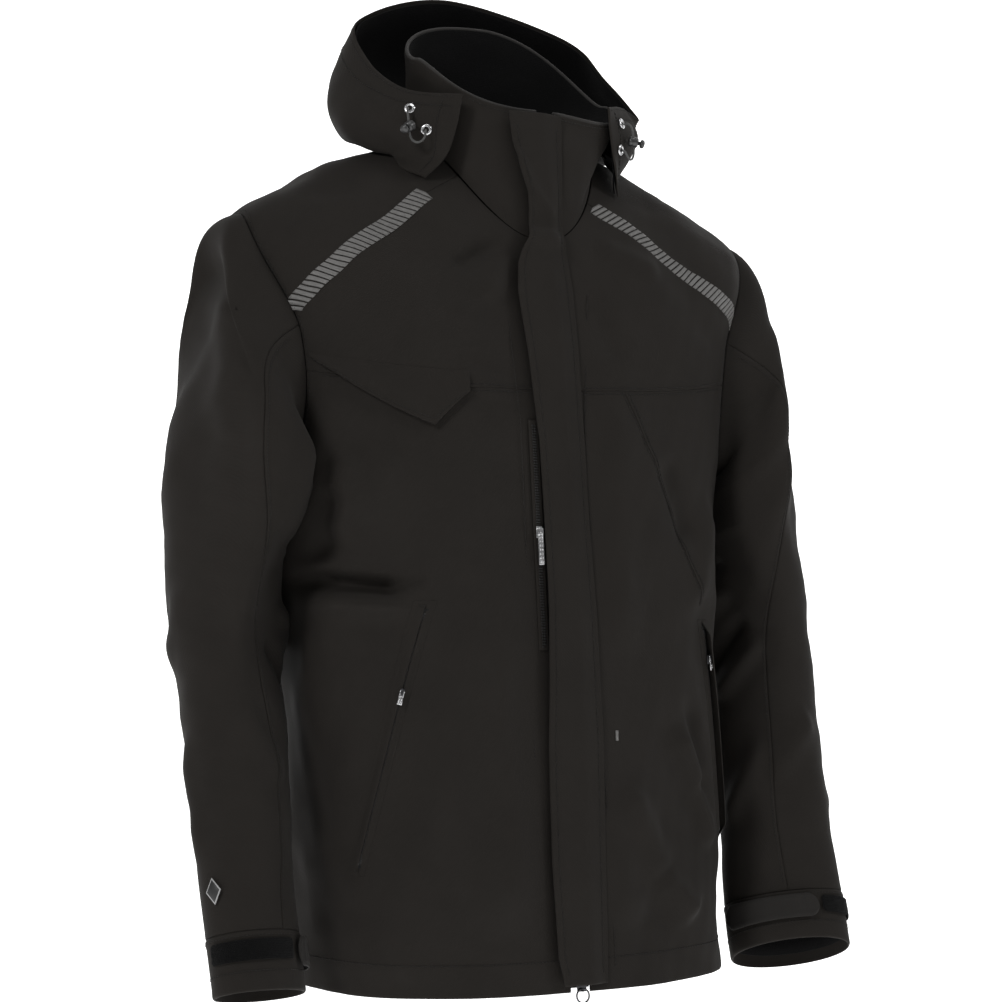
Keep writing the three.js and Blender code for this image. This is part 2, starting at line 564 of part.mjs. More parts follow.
const cordSection = new THREE.Shape(
  Array.from({ length: 8 }, (_, k) => {
    const angle = (k * Math.PI) / 4;
    return new THREE.Vector2((Math.cos(angle) * CORD_DIAMETER) / 2, (Math.sin(angle) * CORD_DIAMETER) / 2);
  }),
);
const barrel = lathe([[0, -4.5], [4, -4.5], [4.8, -3.6], [4.8, 3.6], [4, 4.5], [0, 4.5]], 14);
const cordBore = lathe([[0, -9], [1.6, -9], [1.6, 9], [0, 9]], 10);
const stemBore = lathe([[0, 1.7], [2.1, 1.7], [2.1, 9], [0, 9]], 12);
const plungerShape = lathe([[0, 3.4], [1.7, 3.4], [1.7, 6.8], [3.8, 7], [4, 8.4], [3.2, 10.4], [0, 11]], 12);
for (const [side, sign] of SIDES) {
  const { lock, through: bore, plunger, route, ...eyelets } = DRAWCORDS[side];
  for (const [place, at] of Object.entries(eyelets)) {
    const origin = hood(...at).addScaledVector(hoodOut(at), 2.2);
    add(`hood_eyelet_${place}_${side}`, sided(placedOn(eyelet, origin, V(0, 0, 1), hoodOut(at)), sign), METAL);
  }
  const extrudePath = new THREE.CatmullRomCurve3(route.map((p) => V(...p)), false, "centripetal");
  const cord = new THREE.ExtrudeGeometry(cordSection, { steps: 22, extrudePath });
  add(`hood_drawcord_${side}`, sided(welded(cord), sign), MOULDED);
  const inLock = (piece) => placedOn(piece, lock, V(0, 0, 1), plunger);
  const body = cut(inLock(barrel), placedOn(cordBore, lock, V(1, 0, 0), bore), inLock(stemBore));
  add(`cord_lock_body_${side}`, sided(body, sign), MOULDED);
  add(`cord_lock_plunger_${side}`, sided(inLock(plungerShape), sign), MOULDED);
}

export default jacket;
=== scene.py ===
"""Hardshell jacket in its worn shape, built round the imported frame.

Shapes are drawn in garment millimetres: the front hem is at height 0, +X is the wearer's left and -Y
the front. row() moves them to the frame, whose origin is the hanger loop, in metres.
"""
import math

import bmesh
import bpy
import numpy as np
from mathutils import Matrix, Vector


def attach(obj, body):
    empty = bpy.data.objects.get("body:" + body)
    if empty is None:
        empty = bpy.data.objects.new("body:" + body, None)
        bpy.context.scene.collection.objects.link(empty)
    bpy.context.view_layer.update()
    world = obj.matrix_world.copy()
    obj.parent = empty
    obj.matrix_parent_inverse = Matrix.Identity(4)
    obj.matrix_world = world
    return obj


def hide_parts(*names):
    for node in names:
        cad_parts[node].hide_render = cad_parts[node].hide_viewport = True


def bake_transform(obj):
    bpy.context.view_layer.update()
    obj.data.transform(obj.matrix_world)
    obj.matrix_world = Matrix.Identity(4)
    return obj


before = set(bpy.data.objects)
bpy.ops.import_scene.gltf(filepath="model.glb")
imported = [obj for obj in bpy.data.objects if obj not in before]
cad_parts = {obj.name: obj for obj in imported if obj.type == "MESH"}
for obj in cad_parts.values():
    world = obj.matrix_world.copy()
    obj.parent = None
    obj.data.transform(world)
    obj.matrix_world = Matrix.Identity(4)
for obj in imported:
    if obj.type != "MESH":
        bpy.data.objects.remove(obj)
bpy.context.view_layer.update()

# ---- driving dimensions, in garment millimetres ----
LOOP_BACK, LOOP_HEIGHT = 58.0, 770.0
FRONT_HEM_Y, FRONT_SLOPE = -157.0, 0.101
ORIGIN = np.array([0.0, LOOP_BACK, LOOP_HEIGHT])
SIDES = (("left", 1), ("right", -1))

BODY_RINGS = np.array([
    [0.0, 206, -25, 126, 0, 2, -8, 2.5],
    [0.22, 206, -18, 122, 200, 200, 198, 2.5],
    [0.42, 217, -8, 112, 380, 385, 385, 2.5],
    [0.55, 225, 4, 100, 480, 490, 495, 2.6],
    [0.68, 240, 16, 102, 560, 585, 600, 2.7],
    [0.82, 258, 28, 104, 615, 680, 696, 2.6],
    [0.91, 176, 26, 96, 646, 731, 752, 2.4],
    [1.0, 86, 8, 66, 668, 765, 778, 2.1],
])
COLLAR_RIM = np.array([99, -12, 54, 786, 836, 882, 2.7])
HOLE_ANGLE, HOLE_HALF_ANGLE, HOLE_SHARE, HOLE_HALF_SHARE = math.pi / 2, 0.47, 0.675, 0.16
CAP_END, CAP_TILT = 0.26, 58.0
SLEEVE_RINGS = np.array([
    [CAP_END, 267, 12, 490, 96, 45, 0],
    [0.4, 269, 6, 405, 84, 47, 0],
    [0.55, 274, -6, 305, 63, 50, 0.25],
    [0.75, 278, -42, 170, 49, 41, 0.75],
    [1.0, 278, -92, 8, 47, 33, 1.0],
])
HOOD_RIBS = [
    (1.0, (98, -57, 717), (88, -68, 741), (80, -74, 768), (76, -77, 796)),
    (0.8, (104, -37, 739), (114, -39, 746), (128, -41, 776), (113, -38, 804)),
    (0.55, (109, 2, 764), (140, 13, 759), (153, 15, 798), (127, 14, 838)),
    (0.28, (74, 60, 786), (112, 83, 776), (122, 88, 832), (110, 67, 885)),
    (0.0, (0, 80, 790), (0, 114, 796), (0, 130, 852), (0, 107, 920)),
]
HOOD_RIGHT = ((-102, -54, 722), (-119, -36, 734))
HOOD_LEFT = (0.67, (106, -16, 752), (126, -12, 756), (144, -14, 782), (142, -20, 799))
CHEST_SEAM, SIDE_SEAM, YOKE_BACK = 0.63, 1.76, 0.8025
PIPING_LINES = {
    1: [(0.68, 1.24), (0.708, 1.19), (0.735, 1.03), (0.762, 0.862), (0.8, 0.71), (0.843, 0.615),
        (0.877, 0.6), (0.916, 0.628), (0.961, 0.66), (1.0, 0.7)],
    -1: [(0.68, 1.2), (0.707, 1.129), (0.753, 0.921), (0.812, 0.755), (0.871, 0.732), (0.917, 0.775),
         (0.951, 0.832), (1.0, 0.9)],
}
POCKET_LINES = {1: ((0.8, 0.355), (1.15, 0.13)), -1: ((0.545, 0.378), (1.08, 0.115))}
FRONT_EDGE = 9.5  # the front panels stop this far from the centre line
CUFF_START = 0.925
CUFFS = {
    "left": {"patch": (2.2, 4.1), "tab": (4.2, 5.9)},
    "right": {"patch": (2.9, 4.85), "tab": (4.95, 6.65)},
}
PIVOT_OUT = 3.6
MAIN_SLIDER_HEIGHT, LOW_SLIDER_HEIGHT, CHEST_SLIDER_HEIGHT = 762, 3, 407
CHEST_ZIP_X = -20.5
POCKET_SLIDERS = {1: 0.17, -1: 0.33}
CORD_DIAMETER = 2.0
DRAWCORDS = {
    1: {
        "upper": (0.915, 0.816), "lower": (0.945, 0.544),
        "lock": (108.9, -64.3, 767.8), "plunger": (0.915, -0.337, -0.209),
        "route": [
            (99.8, -62.6, 783.7), (101.0, -64.8, 784.2), (102.6, -66.7, 783.6), (104.4, -67.9, 781.4),
            (106.0, -67.8, 778.1), (107.4, -66.6, 773.8), (108.7, -64.9, 769.3), (110.0, -63.0, 764.3),
            (111.2, -61.7, 759.7), (110.9, -61.5, 755.6), (108.7, -62.5, 752.2), (105.2, -64.6, 751.3),
            (101.9, -66.8, 752.7), (99.5, -67.7, 755.7), (97.8, -67.4, 758.2), (96.2, -65.7, 759.1),
        ],
    },
    -1: {
        "upper": (0.849, 0.778), "lower": (0.91, 0.587),
        "lock": (119.5, -58.2, 766.4), "plunger": (0.783, -0.452, -0.421),
        "route": [
            (117.0, -51.1, 783.1), (118.5, -53.1, 783.8), (119.8, -55.3, 783.3), (120.7, -57.2, 781.0),
            (120.9, -58.2, 777.5), (120.5, -58.4, 772.9), (120.0, -58.3, 767.9), (119.2, -58.1, 762.5),
            (118.6, -58.3, 757.6), (116.7, -59.3, 754.0), (113.4, -61.1, 752.2), (109.9, -63.2, 753.3),
            (107.5, -64.5, 756.5), (106.5, -64.4, 760.3), (105.8, -63.2, 763.1), (104.6, -61.1, 763.8),
        ],
    },
}


def row(points):
    return (np.asarray(points, float) - ORIGIN) / 1000


# ---- camera: level, 28 degrees to the wearer's right of centre ----
CAMERA_HEIGHT, CAMERA_DISTANCE, CAMERA_AZIMUTH = 380.0, 2550.0, math.radians(-28)
SENSOR, FOCAL, PICTURE_SIDE = 36.0, 98.5, 1002
forward = np.array([-math.sin(CAMERA_AZIMUTH), math.cos(CAMERA_AZIMUTH), 0.0])
camera_data = bpy.data.cameras.new("camera")
camera_data.sensor_width, camera_data.lens = SENSOR, FOCAL
camera_data.shift_x, camera_data.shift_y = 4 / PICTURE_SIDE, 59 / PICTURE_SIDE
camera = bpy.data.objects.new("camera", camera_data)
bpy.context.scene.collection.objects.link(camera)
camera.location = row(-forward * CAMERA_DISTANCE + np.array([0, 0, CAMERA_HEIGHT]))
camera.rotation_euler = Vector(forward).to_track_quat("-Z", "Y").to_euler()
bpy.context.scene.camera = camera


# ---- numbers ----
def lerp(a, b, k):
    return a + (b - a) * k


def smooth(k):
    k = np.clip(k, 0, 1)
    return k * k * (3 - 2 * k)


def spread(*values):
    """The values as float arrays of one shared shape."""
    return np.broadcast_arrays(*(np.asarray(v, float) for v in values))


def hermite(s, start, leave, end, arrive):
    return (
        (2 * s**3 - 3 * s**2 + 1) * start + (s**3 - 2 * s**2 + s) * leave
        + (3 * s**2 - 2 * s**3) * end + (s**3 - s**2) * arrive
    )


def distances(path):
    """How far along a path each of its points lies."""
    return np.concatenate([[0], np.cumsum(np.linalg.norm(np.diff(path, axis=0), axis=1))])


def columns(t, run, path):
    """A path's points read off at t, where run holds the parameter of each point."""
    return np.stack([np.interp(t, run, path[:, k]) for k in range(path.shape[1])], -1)


def table(rows, t):
    """A straight-line table look-up: rows of (parameter, value)."""
    rows = np.asarray(rows, float)
    return np.interp(t, rows[:, 0], rows[:, 1])


def through(rows, t):
    """A smooth curve through rows whose first entry is the parameter; t may be any array."""
    rows = np.asarray(rows, float)
    t = np.asarray(t, float)
    i = np.searchsorted(rows[1:-1, 0], t, side="left")
    start, end = rows[i], rows[i + 1]
    before = np.where((i > 0)[..., None], rows[np.maximum(i - 1, 0)], 2 * start - end)
    after = np.where((i < len(rows) - 2)[..., None], rows[np.minimum(i + 2, len(rows) - 1)], 2 * end - start)
    step = (end - start)[..., :1]
    s = ((t - start[..., 0]) / step[..., 0])[..., None]
    leave = (end - before)[..., 1:] / (end - before)[..., :1] * step
    arrive = (after - start)[..., 1:] / (after - start)[..., :1] * step
    return hermite(s, start[..., 1:], leave, end[..., 1:], arrive)


def front_y(height):
    return FRONT_HEM_Y + FRONT_SLOPE * height


def ring_point(ring, angle, front_power=2.0, back_power=2.0):
    half, side_y, back_y, front_z, side_z, back_z, square = np.moveaxis(ring, -1, 0)
    s, c = np.sin(angle), np.cos(angle)
    x = half * np.sign(s) * np.abs(s) ** (2 / square)
    k = np.abs(c) ** (2 / square)
    ahead = c >= 0
    z = np.where(ahead, lerp(side_z, front_z, np.abs(c) ** front_power),
                 lerp(side_z, back_z, np.abs(c) ** back_power))
    y = np.where(ahead, lerp(side_y, front_y(front_z), k), lerp(side_y, back_y, k))
    return np.stack(np.broadcast_arrays(x, y, z), -1)


def torso(angle, share):
    angle, share = spread(angle, share)
    return ring_point(through(BODY_RINGS, share), angle)


def collar(angle, share):
    angle, share = spread(angle, share)
    ring = lerp(BODY_RINGS[-1, 1:], COLLAR_RIM, share[..., None])
    p = ring_point(ring, angle, lerp(2, 1.08, share), lerp(2, 1.15, share))
    left = np.clip(np.sin(angle), 0, 1)
    return p + share[..., None] * np.stack([8 + 3 * left, 0 * left, -30 * left**1.3], -1)


def angle_at(x, half, square):
    return np.arcsin((x / half) ** (square / 2))


def torso_angle_at(x, share):
    ring = through(BODY_RINGS, share)
    return angle_at(x, ring[..., 0], ring[..., 6])


def piping_angle(sign, share):
    return through(PIPING_LINES[sign], np.maximum(share, 0.68))[..., 0]


def armhole(angle):
    return torso(HOLE_ANGLE + HOLE_HALF_ANGLE * np.cos(angle), HOLE_SHARE + HOLE_HALF_SHARE * np.sin(angle))


def unit(v):
    return v / np.maximum(np.linalg.norm(v, axis=-1, keepdims=True), 1e-9)


def sleeve_tube(angle, share):
    rings = through(SLEEVE_RINGS, share)
    x, y, z, along, across, turn = np.moveaxis(rings, -1, 0)
    d = unit(through(SLEEVE_RINGS, share + 1e-3)[..., :3] - through(SLEEVE_RINGS, share - 1e-3)[..., :3])
    fore = np.stack([0.883 * turn, 0.531 * turn - 1, np.zeros_like(turn)], -1)
    fore = unit(fore - (fore * d).sum(-1, keepdims=True) * d)
    side = np.cross(fore, d)
    side = np.where(side[..., :1] < 0, -side, side)
    tilt = CAP_TILT * np.sin(angle) * (1 - smooth((share - CAP_END) / 0.2))
    centre = np.stack([x, y, z + tilt], -1)
    return centre - fore * (np.cos(angle) * along)[..., None] + side * (np.sin(angle) * across)[..., None]


def sleeve(angle, share):
    """The left sleeve: angle 0 is the back, a quarter turn is outwards, half a turn is the front."""
    angle, share = spread(angle, share)
    tube = sleeve_tube(angle, np.maximum(share, CAP_END))
    top = (0.5 + 0.5 * np.sin(angle))[..., None]
    start, end = armhole(angle), sleeve_tube(angle, np.full_like(share, CAP_END))
    leave = np.concatenate([0.78 + 0.16 * top, 0.25 * np.cos(angle)[..., None], 0.28 * top - 0.62], -1)
    ahead = sleeve_tube(angle, np.full_like(share, CAP_END + 1e-3))
    arrive = (ahead - end) * (CAP_END / 3e-3) * (0.55 + 0.75 * top)
    t = np.clip(share / CAP_END, 0, 1)[..., None]
    p1, p2 = start + leave * (24 + 34 * top), end - arrive
    cap = (1 - t) ** 3 * start + 3 * t * (1 - t) ** 2 * p1 + 3 * t * t * (1 - t) * p2 + t**3 * end
    return np.where((share >= CAP_END)[..., None], tube, cap)


def arm(sign):
    """One side's sleeve: the left one hangs fuller towards the body, with its cuff open to the front."""
    def at(angle, share):
        angle, share = spread(angle, share)
        p = sleeve(angle, share)
        if sign < 0:
            return p
        full = 20 * smooth((share - 0.6) / 0.4) * (0.5 + 0.5 * np.cos(angle))
        lift = -9 * smooth((share - 0.88) / 0.12) * np.sin(angle)
        return p + np.stack([-0.883 * full, 0.469 * full, lift], -1)
    return at


def hood_ribs():
    """All ribs in order of side, from the right front edge round the back to the left front edge."""
    left = np.array([[at, *np.ravel(p)] for at, *p in HOOD_RIBS], float)
    rows = HOOD_RIBS[:2] + [HOOD_LEFT] + HOOD_RIBS[2:4]
    outer = np.array([[at, *np.ravel(p)] for at, *p in rows], float)
    right = left * np.array([-1] + [-1, 1, 1] * 4)
    right[0, 1:4], right[1, 1:4] = HOOD_RIGHT
    return np.concatenate([right, outer[::-1]])


ALL_HOOD_RIBS = hood_ribs()


def hood(side, rise):
    """Side 1 is the left front edge, 0 the centre back and -1 the right front edge."""
    side, rise = spread(side, rise)
    at = through(ALL_HOOD_RIBS, side).reshape(side.shape + (4, 3))
    p0, p1, p2, p3 = (at[..., k, :] for k in range(4))
    known = [2 * p0 - p1, p0, p1, p2, p3, 2 * p3 - p2]
    seg = np.clip(np.searchsorted([1 / 3, 2 / 3], rise, side="left"), 0, 2)[..., None]
    before, start, end, after = (
        np.where(seg == 0, known[k], np.where(seg == 1, known[k + 1], known[k + 2])) for k in range(4)
    )
    return hermite(rise[..., None] * 3 - seg, start, (end - before) / 2, end, (after - start) / 2)


FRONT_UP = np.array([0, FRONT_SLOPE, 1]) / math.hypot(1, FRONT_SLOPE)
FRONT_OUT = np.array([0, -1, FRONT_SLOPE]) / math.hypot(1, FRONT_SLOPE)


def on_front(x, out, height):
    x, out, height = spread(x, out, height)
    return np.stack([x, front_y(height), height], -1) + FRONT_OUT * out[..., None]


def normals(at, u, v, e=1e-3):
    across = at(u + e, v) - at(u - e, v)
    up = at(u, v + e) - at(u, v - e)
    return unit(np.cross(across, up))


def wobble(p, size, seed, waves=7):
    """Smooth seeded unevenness of about unit height, with features of roughly the given size."""
    rng = np.random.default_rng(seed)
    total = np.zeros(p.shape[:-1])
    for _ in range(waves):
        direction = unit(rng.normal(size=3))
        wave = 2 * math.pi / (size * rng.uniform(0.75, 1.6))
        total += np.sin(p @ direction * wave + rng.uniform(0, 6.28))
    return total / math.sqrt(waves)


def strokes(a, b, marks):
    """Folds drawn as lines on a flat pattern: (a0, b0, a1, b1, half width, height) each, in millimetres."""
    total = np.zeros(np.broadcast(a, b).shape)
    for a0, b0, a1, b1, width, height in marks:
        da, db = a1 - a0, b1 - b0
        length = da * da + db * db
        t = ((a - a0) * da + (b - b0) * db) / length
        near = np.clip(t, 0, 1)
        gap = np.hypot(a - a0 - near * da, b - b0 - near * db)
        fade = smooth(t / 0.3 + 0.4) * smooth((1 - t) / 0.3 + 0.4)
        total += height * fade * np.exp(-((gap / width) ** 2))
    return total


# ---- materials ----
def socket(shader, name, value):
    shader.inputs[name].default_value = value


def new_material(name, roughness, metallic=0.0, specular=0.5, sheen=0.0, coat=0.0):
    material = bpy.data.materials.new(name)
    material.use_nodes = True
    shader = material.node_tree.nodes["Principled BSDF"]
    socket(shader, "Roughness", roughness)
    socket(shader, "Metallic", metallic)
    socket(shader, "Specular IOR Level", specular)
    if sheen:
        socket(shader, "Sheen Weight", sheen)
        socket(shader, "Sheen Roughness", 0.45)
    if coat:
        socket(shader, "Coat Weight", coat)
        socket(shader, "Coat Roughness", 0.2)
    return material, material.node_tree, shader


def node(tree, kind, **values):
    n = tree.nodes.new(kind)
    for key, value in values.items():
        if isinstance(n.inputs.get(key.replace("_", " ")), bpy.types.NodeSocket):
            n.inputs[key.replace("_", " ")].default_value = value
        else:
            setattr(n, key, value)
    return n


def noise(tree, coordinates, scale, detail=3.0, roughness=0.55):
    n = node(tree, "ShaderNodeTexNoise", Scale=scale, Detail=detail, Roughness=roughness)
    tree.links.new(coordinates, n.inputs["Vector"])
    return n.outputs["Fac"]


def ramp(tree, value, stops):
    n = tree.nodes.new("ShaderNodeValToRGB")
    while len(n.color_ramp.elements) < len(stops):
        n.color_ramp.elements.new(0.5)
    for element, (place, colour) in zip(n.color_ramp.elements, stops):
        element.position = place
        element.color = (*colour, 1)
    tree.links.new(value, n.inputs["Fac"])
    return n.outputs["Color"]


def maths(tree, operation, a, b=0.0):
    n = tree.nodes.new("ShaderNodeMath")
    n.operation = operation
    for slot_number, value in enumerate((a, b)):
        if isinstance(value, (int, float)):
            n.inputs[slot_number].default_value = value
        else:
            tree.links.new(value, n.inputs[slot_number])
    return n.outputs[0]


def bump(tree, shader, height, distance, strength=1.0):
    n = node(tree, "ShaderNodeBump", Distance=distance, Strength=strength)
    tree.links.new(height, n.inputs["Height"])
    tree.links.new(n.outputs["Normal"], shader.inputs["Normal"])


def shade(colour, k):
    return tuple(c * k for c in colour)


def weave_height(tree, period, twill):
    """Woven threads on the piece's own flat pattern, in metres."""
    uv = node(tree, "ShaderNodeUVMap", uv_map="weave").outputs["UV"]
    scale = 0.314 / period
    waves = []
    for direction in ("X", "Y"):
        w = node(tree, "ShaderNodeTexWave", Scale=scale, Distortion=0.6, Detail=1.0)
        w.bands_direction = direction
        tree.links.new(uv, w.inputs["Vector"])
        waves.append(w.outputs["Fac"])
    plain = maths(tree, "MULTIPLY", *waves)
    if not twill:
        return plain
    slant = node(tree, "ShaderNodeTexWave", Scale=scale * 0.5, Distortion=0.4)
    slant.bands_direction = "DIAGONAL"
    tree.links.new(uv, slant.inputs["Vector"])
    return maths(tree, "ADD", maths(tree, "MULTIPLY", plain, 0.5), slant.outputs["Fac"])


def dress(tree, shader, tone, stops, grain, swing, roughness):
    """Base colour from a ramp over the tone, and a roughness that varies with the grain."""
    tree.links.new(ramp(tree, tone, stops), shader.inputs["Base Color"])
    rough = maths(tree, "ADD", maths(tree, "MULTIPLY", grain, swing), roughness)
    tree.links.new(rough, shader.inputs["Roughness"])


def cloth_material(name, colour, roughness=0.78, period=0.0007, twill=True, sheen=0.02, depth=0.00006,
                   patchy=0.12):
    material, tree, shader = new_material(name, roughness, specular=0.09, sheen=sheen)
    place = node(tree, "ShaderNodeTexCoord").outputs["Object"]
    weave = weave_height(tree, period, twill)
    wear = noise(tree, place, 18, 4)
    grain = noise(tree, place, 420, 2)
    mix = maths(tree, "ADD", maths(tree, "MULTIPLY", wear, 0.55), maths(tree, "MULTIPLY", grain, 0.3))
    mix = maths(tree, "ADD", mix, maths(tree, "MULTIPLY", weave, 0.05))
    stops = [(0.3, shade(colour, 1 - patchy)), (0.52, colour), (0.75, shade(colour, 1 + patchy))]
    dress(tree, shader, mix, stops, grain, 0.16, roughness - 0.08)
    height = maths(tree, "ADD", weave, maths(tree, "MULTIPLY", noise(tree, place, 900, 2), 0.8))
    bump(tree, shader, height, depth)
    return material


def metal_material(name, colour, roughness):
    material, tree, shader = new_material(name, roughness, metallic=1.0)
    place = node(tree, "ShaderNodeTexCoord").outputs["Object"]
    wear = noise(tree, place, 700, 4)
    stops = [(0.3, shade(colour, 0.75)), (0.6, colour), (0.8, shade(colour, 1.12))]
    dress(tree, shader, wear, stops, noise(tree, place, 1500), 0.2, roughness - 0.08)
    bump(tree, shader, noise(tree, place, 2600, 2), 0.0002, 0.3)
    return material


def moulded_material(name, colour, roughness=0.45, grain=0.0001, coat=0.0):
    material, tree, shader = new_material(name, roughness, specular=0.45, coat=coat)
    place = node(tree, "ShaderNodeTexCoord").outputs["Object"]
    tone = noise(tree, place, 260, 3)
    stops = [(0.3, shade(colour, 0.86)), (0.7, shade(colour, 1.1))]
    dress(tree, shader, tone, stops, tone, 0.2, roughness - 0.1)
    bump(tree, shader, noise(tree, place, 1800, 3), grain, 0.5)
    return material


SHELL = cloth_material("shell_fabric", (0.0164, 0.0144, 0.0126))
TRIM = cloth_material("zip_tape", (0.010, 0.0098, 0.0096), 0.8, 0.0006, False, 0.04)
BINDING = cloth_material("binding", (0.03, 0.0285, 0.027), 0.7, 0.0006, False, 0.1)
LINING = cloth_material("lining_fabric", (0.0036, 0.0036, 0.0037), 0.9, 0.0016, False, 0.02, 0.0002)
THREAD = cloth_material("thread", (0.0165, 0.0156, 0.0146), 0.65, 0.0004, False, 0.05, 0.00005)
LOOP_TAPE = cloth_material("loop_tape", (0.018, 0.0175, 0.017), 0.75, 0.0012, False, 0.1, 0.0002)
LOOP_PILE = cloth_material("loop_pile", (0.0036, 0.0036, 0.0037), 0.97, 0.0014, False, 0.03, 0.0005)
REFLECTIVE = moulded_material("reflective_print", (0.125, 0.122, 0.118), 0.5, 0.0001)
BADGE = moulded_material("badge_film", (0.02, 0.02, 0.02), 0.4, 0.00008)
BADGE_EDGE = moulded_material("badge_edge", (0.33, 0.33, 0.33), 0.5, 0.00008)
TAB = cloth_material("tab_film", (0.019, 0.0176, 0.0164), 0.7, 0.0006, False, 0.03, 0.00005)
SILVER = metal_material("bright_metal", (0.72, 0.72, 0.73), 0.24)
DARK_METAL = metal_material("dark_metal", (0.09, 0.09, 0.095), 0.34)
MOULDED = moulded_material("moulded_grey", (0.028, 0.028, 0.028), 0.32, coat=0.3)
PULL_GREY = moulded_material("pull_grey", (0.10, 0.10, 0.099), 0.4)
CORD = cloth_material("cord_braid", (0.1, 0.1, 0.098), 0.7, 0.0007, False, 0.1, 0.0002, 0.4)
TEETH = moulded_material("teeth", (0.008, 0.008, 0.008), 0.45)


# ---- mesh making ----
def put(name, points, faces, material, body, stands_for=(), uv=None, mirror=False, flat=False, blend=None):
    """One piece from garment-millimetre points. A piece given a blend, (other body, start, end) in garment
    millimetres, is baked in place and attached to no body.
    """
    points = np.array(points, float)
    if mirror:
        points = points * [-1, 1, 1]
        faces = [tuple(reversed(f)) for f in faces]
    mesh = bpy.data.meshes.new(name)
    mesh.from_pydata(row(points).tolist(), [], [tuple(map(int, f)) for f in faces])
    layer = mesh.uv_layers.new(name="weave")
    if uv is None:
        uv = row(points)[:, [0, 2]] + row(points)[:, [1, 1]] * 0.5
    corner = np.zeros(len(mesh.loops), np.int32)
    mesh.loops.foreach_get("vertex_index", corner)
    layer.data.foreach_set("uv", np.asarray(uv, np.float32)[corner].ravel())
    mesh.polygons.foreach_set("use_smooth", [not flat] * len(mesh.polygons))
    mesh.materials.append(material)
    mesh.update()
    obj = bpy.data.objects.new(name, mesh)
    bpy.context.scene.collection.objects.link(obj)
    if blend:
        flip = np.array([-1, 1, 1]) if mirror else np.array([1, 1, 1])
        other, start, end = blend
        row(np.array(start) * flip)
        row(np.array(end) * flip)
        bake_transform(obj)
    else:
        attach(obj, body)
    if stands_for:
        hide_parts(*stands_for)
    return obj


def thick(outer, inner, keep=None, ring=False):
    """Points and faces of a closed thick sheet from two grids; keep marks the cells that stay."""
    nu, nv = outer.shape[:2]
    count = nu * nv
    index = np.arange(count).reshape(nu, nv)
    if ring:
        index = np.concatenate([index, index[:1]])
    a, b, c, d = index[:-1, :-1], index[1:, :-1], index[1:, 1:], index[:-1, 1:]
    cells = np.stack([a, b, c, d], -1)
    if keep is not None:
        cells = cells[keep]
    cells = cells.reshape(-1, 4)
    edges = np.concatenate([cells[:, [k, (k + 1) % 4]] for k in range(4)])
    key = edges[:, 0] * count + edges[:, 1]
    back = edges[:, 1] * count + edges[:, 0]
    rim = edges[~np.isin(key, back)]
    sides = np.stack([rim[:, 1], rim[:, 0], rim[:, 0] + count, rim[:, 1] + count], -1)
    faces = np.concatenate([cells, cells[:, ::-1] + count, sides])
    used, flat_faces = np.unique(faces, return_inverse=True)
    points = np.concatenate([outer.reshape(-1, 3), inner.reshape(-1, 3)])[used]
    return points, flat_faces.reshape(-1, 4), used


def ticks(length, step, edge=True):
    """Parameters from 0 to 1 about one step apart, with closer rows beside both ends."""
    n = max(2, int(round(length / step)))
    t = np.linspace(0, 1, n + 1)
    if not edge:
        return t
    fine = np.array([0.6, 1.3, 2.2, 3.4]) / length
    t = t[(t > fine[-1] * 1.3) & (t < 1 - fine[-1] * 1.3)]
    return np.concatenate([[0], fine, t, 1 - fine[::-1], [1]])


def run_lengths(grid, axis):
    steps = np.linalg.norm(np.diff(grid, axis=axis), axis=-1)
    zero = np.zeros_like(np.take(steps, [0], axis=axis))
    return np.concatenate([zero, np.cumsum(steps, axis=axis)], axis=axis)


def cloth(name, at, u, v, material, body, out=0.0, thickness=1.0, relief=None, roll="uUvV", depth=0.9,
          stands_for=(), mirror=False, ring=False, blend=None, keep=None, puff=0.25, up=None):
    """A sewn sheet over the surface at(u, v). roll names the sides that turn under: u, U, v and V."""
    grid_u, grid_v = np.meshgrid(u, v, indexing="ij")
    base = at(grid_u, grid_v)
    up = normals(at, grid_u, grid_v) if up is None else up
    along, rise = run_lengths(base, 0), run_lengths(base, 1)
    offset = np.full(grid_u.shape, float(out))
    if relief is not None:
        offset = offset + relief(base, grid_u, grid_v)
    under = offset - thickness
    gaps = {"u": along, "U": along[-1:] - along, "v": rise, "V": rise[:, -1:] - rise}
    for side in roll:
        gap = gaps[side]
        offset = offset - depth * np.clip(1 - gap / 1.6, 0, 1) ** 2
        pucker = 0.6 + 0.4 * np.sin((along + rise) * 2 * math.pi / 11 + 2 * wobble(base, 40, 3))
        offset = offset + puff * np.exp(-(((gap - 4) / 2.6) ** 2)) * pucker
    outer, inner = base + up * offset[..., None], base + up * under[..., None]
    points, faces, used = thick(outer, inner, keep, ring)
    flat = np.stack([along, rise], -1).reshape(-1, 2) / 1000
    uv = np.concatenate([flat, flat])[used]
    return put(name, points, faces, material, body, stands_for, uv, mirror, blend=blend)


def band_faces(sides, bands):
    """The faces between rings of points that follow each other in the list."""
    faces = []
    for start in range(0, sides * bands, sides):
        for i in range(sides):
            k = (i + 1) % sides
            faces.append((start + i, start + k, start + sides + k, start + sides + i))
    return faces


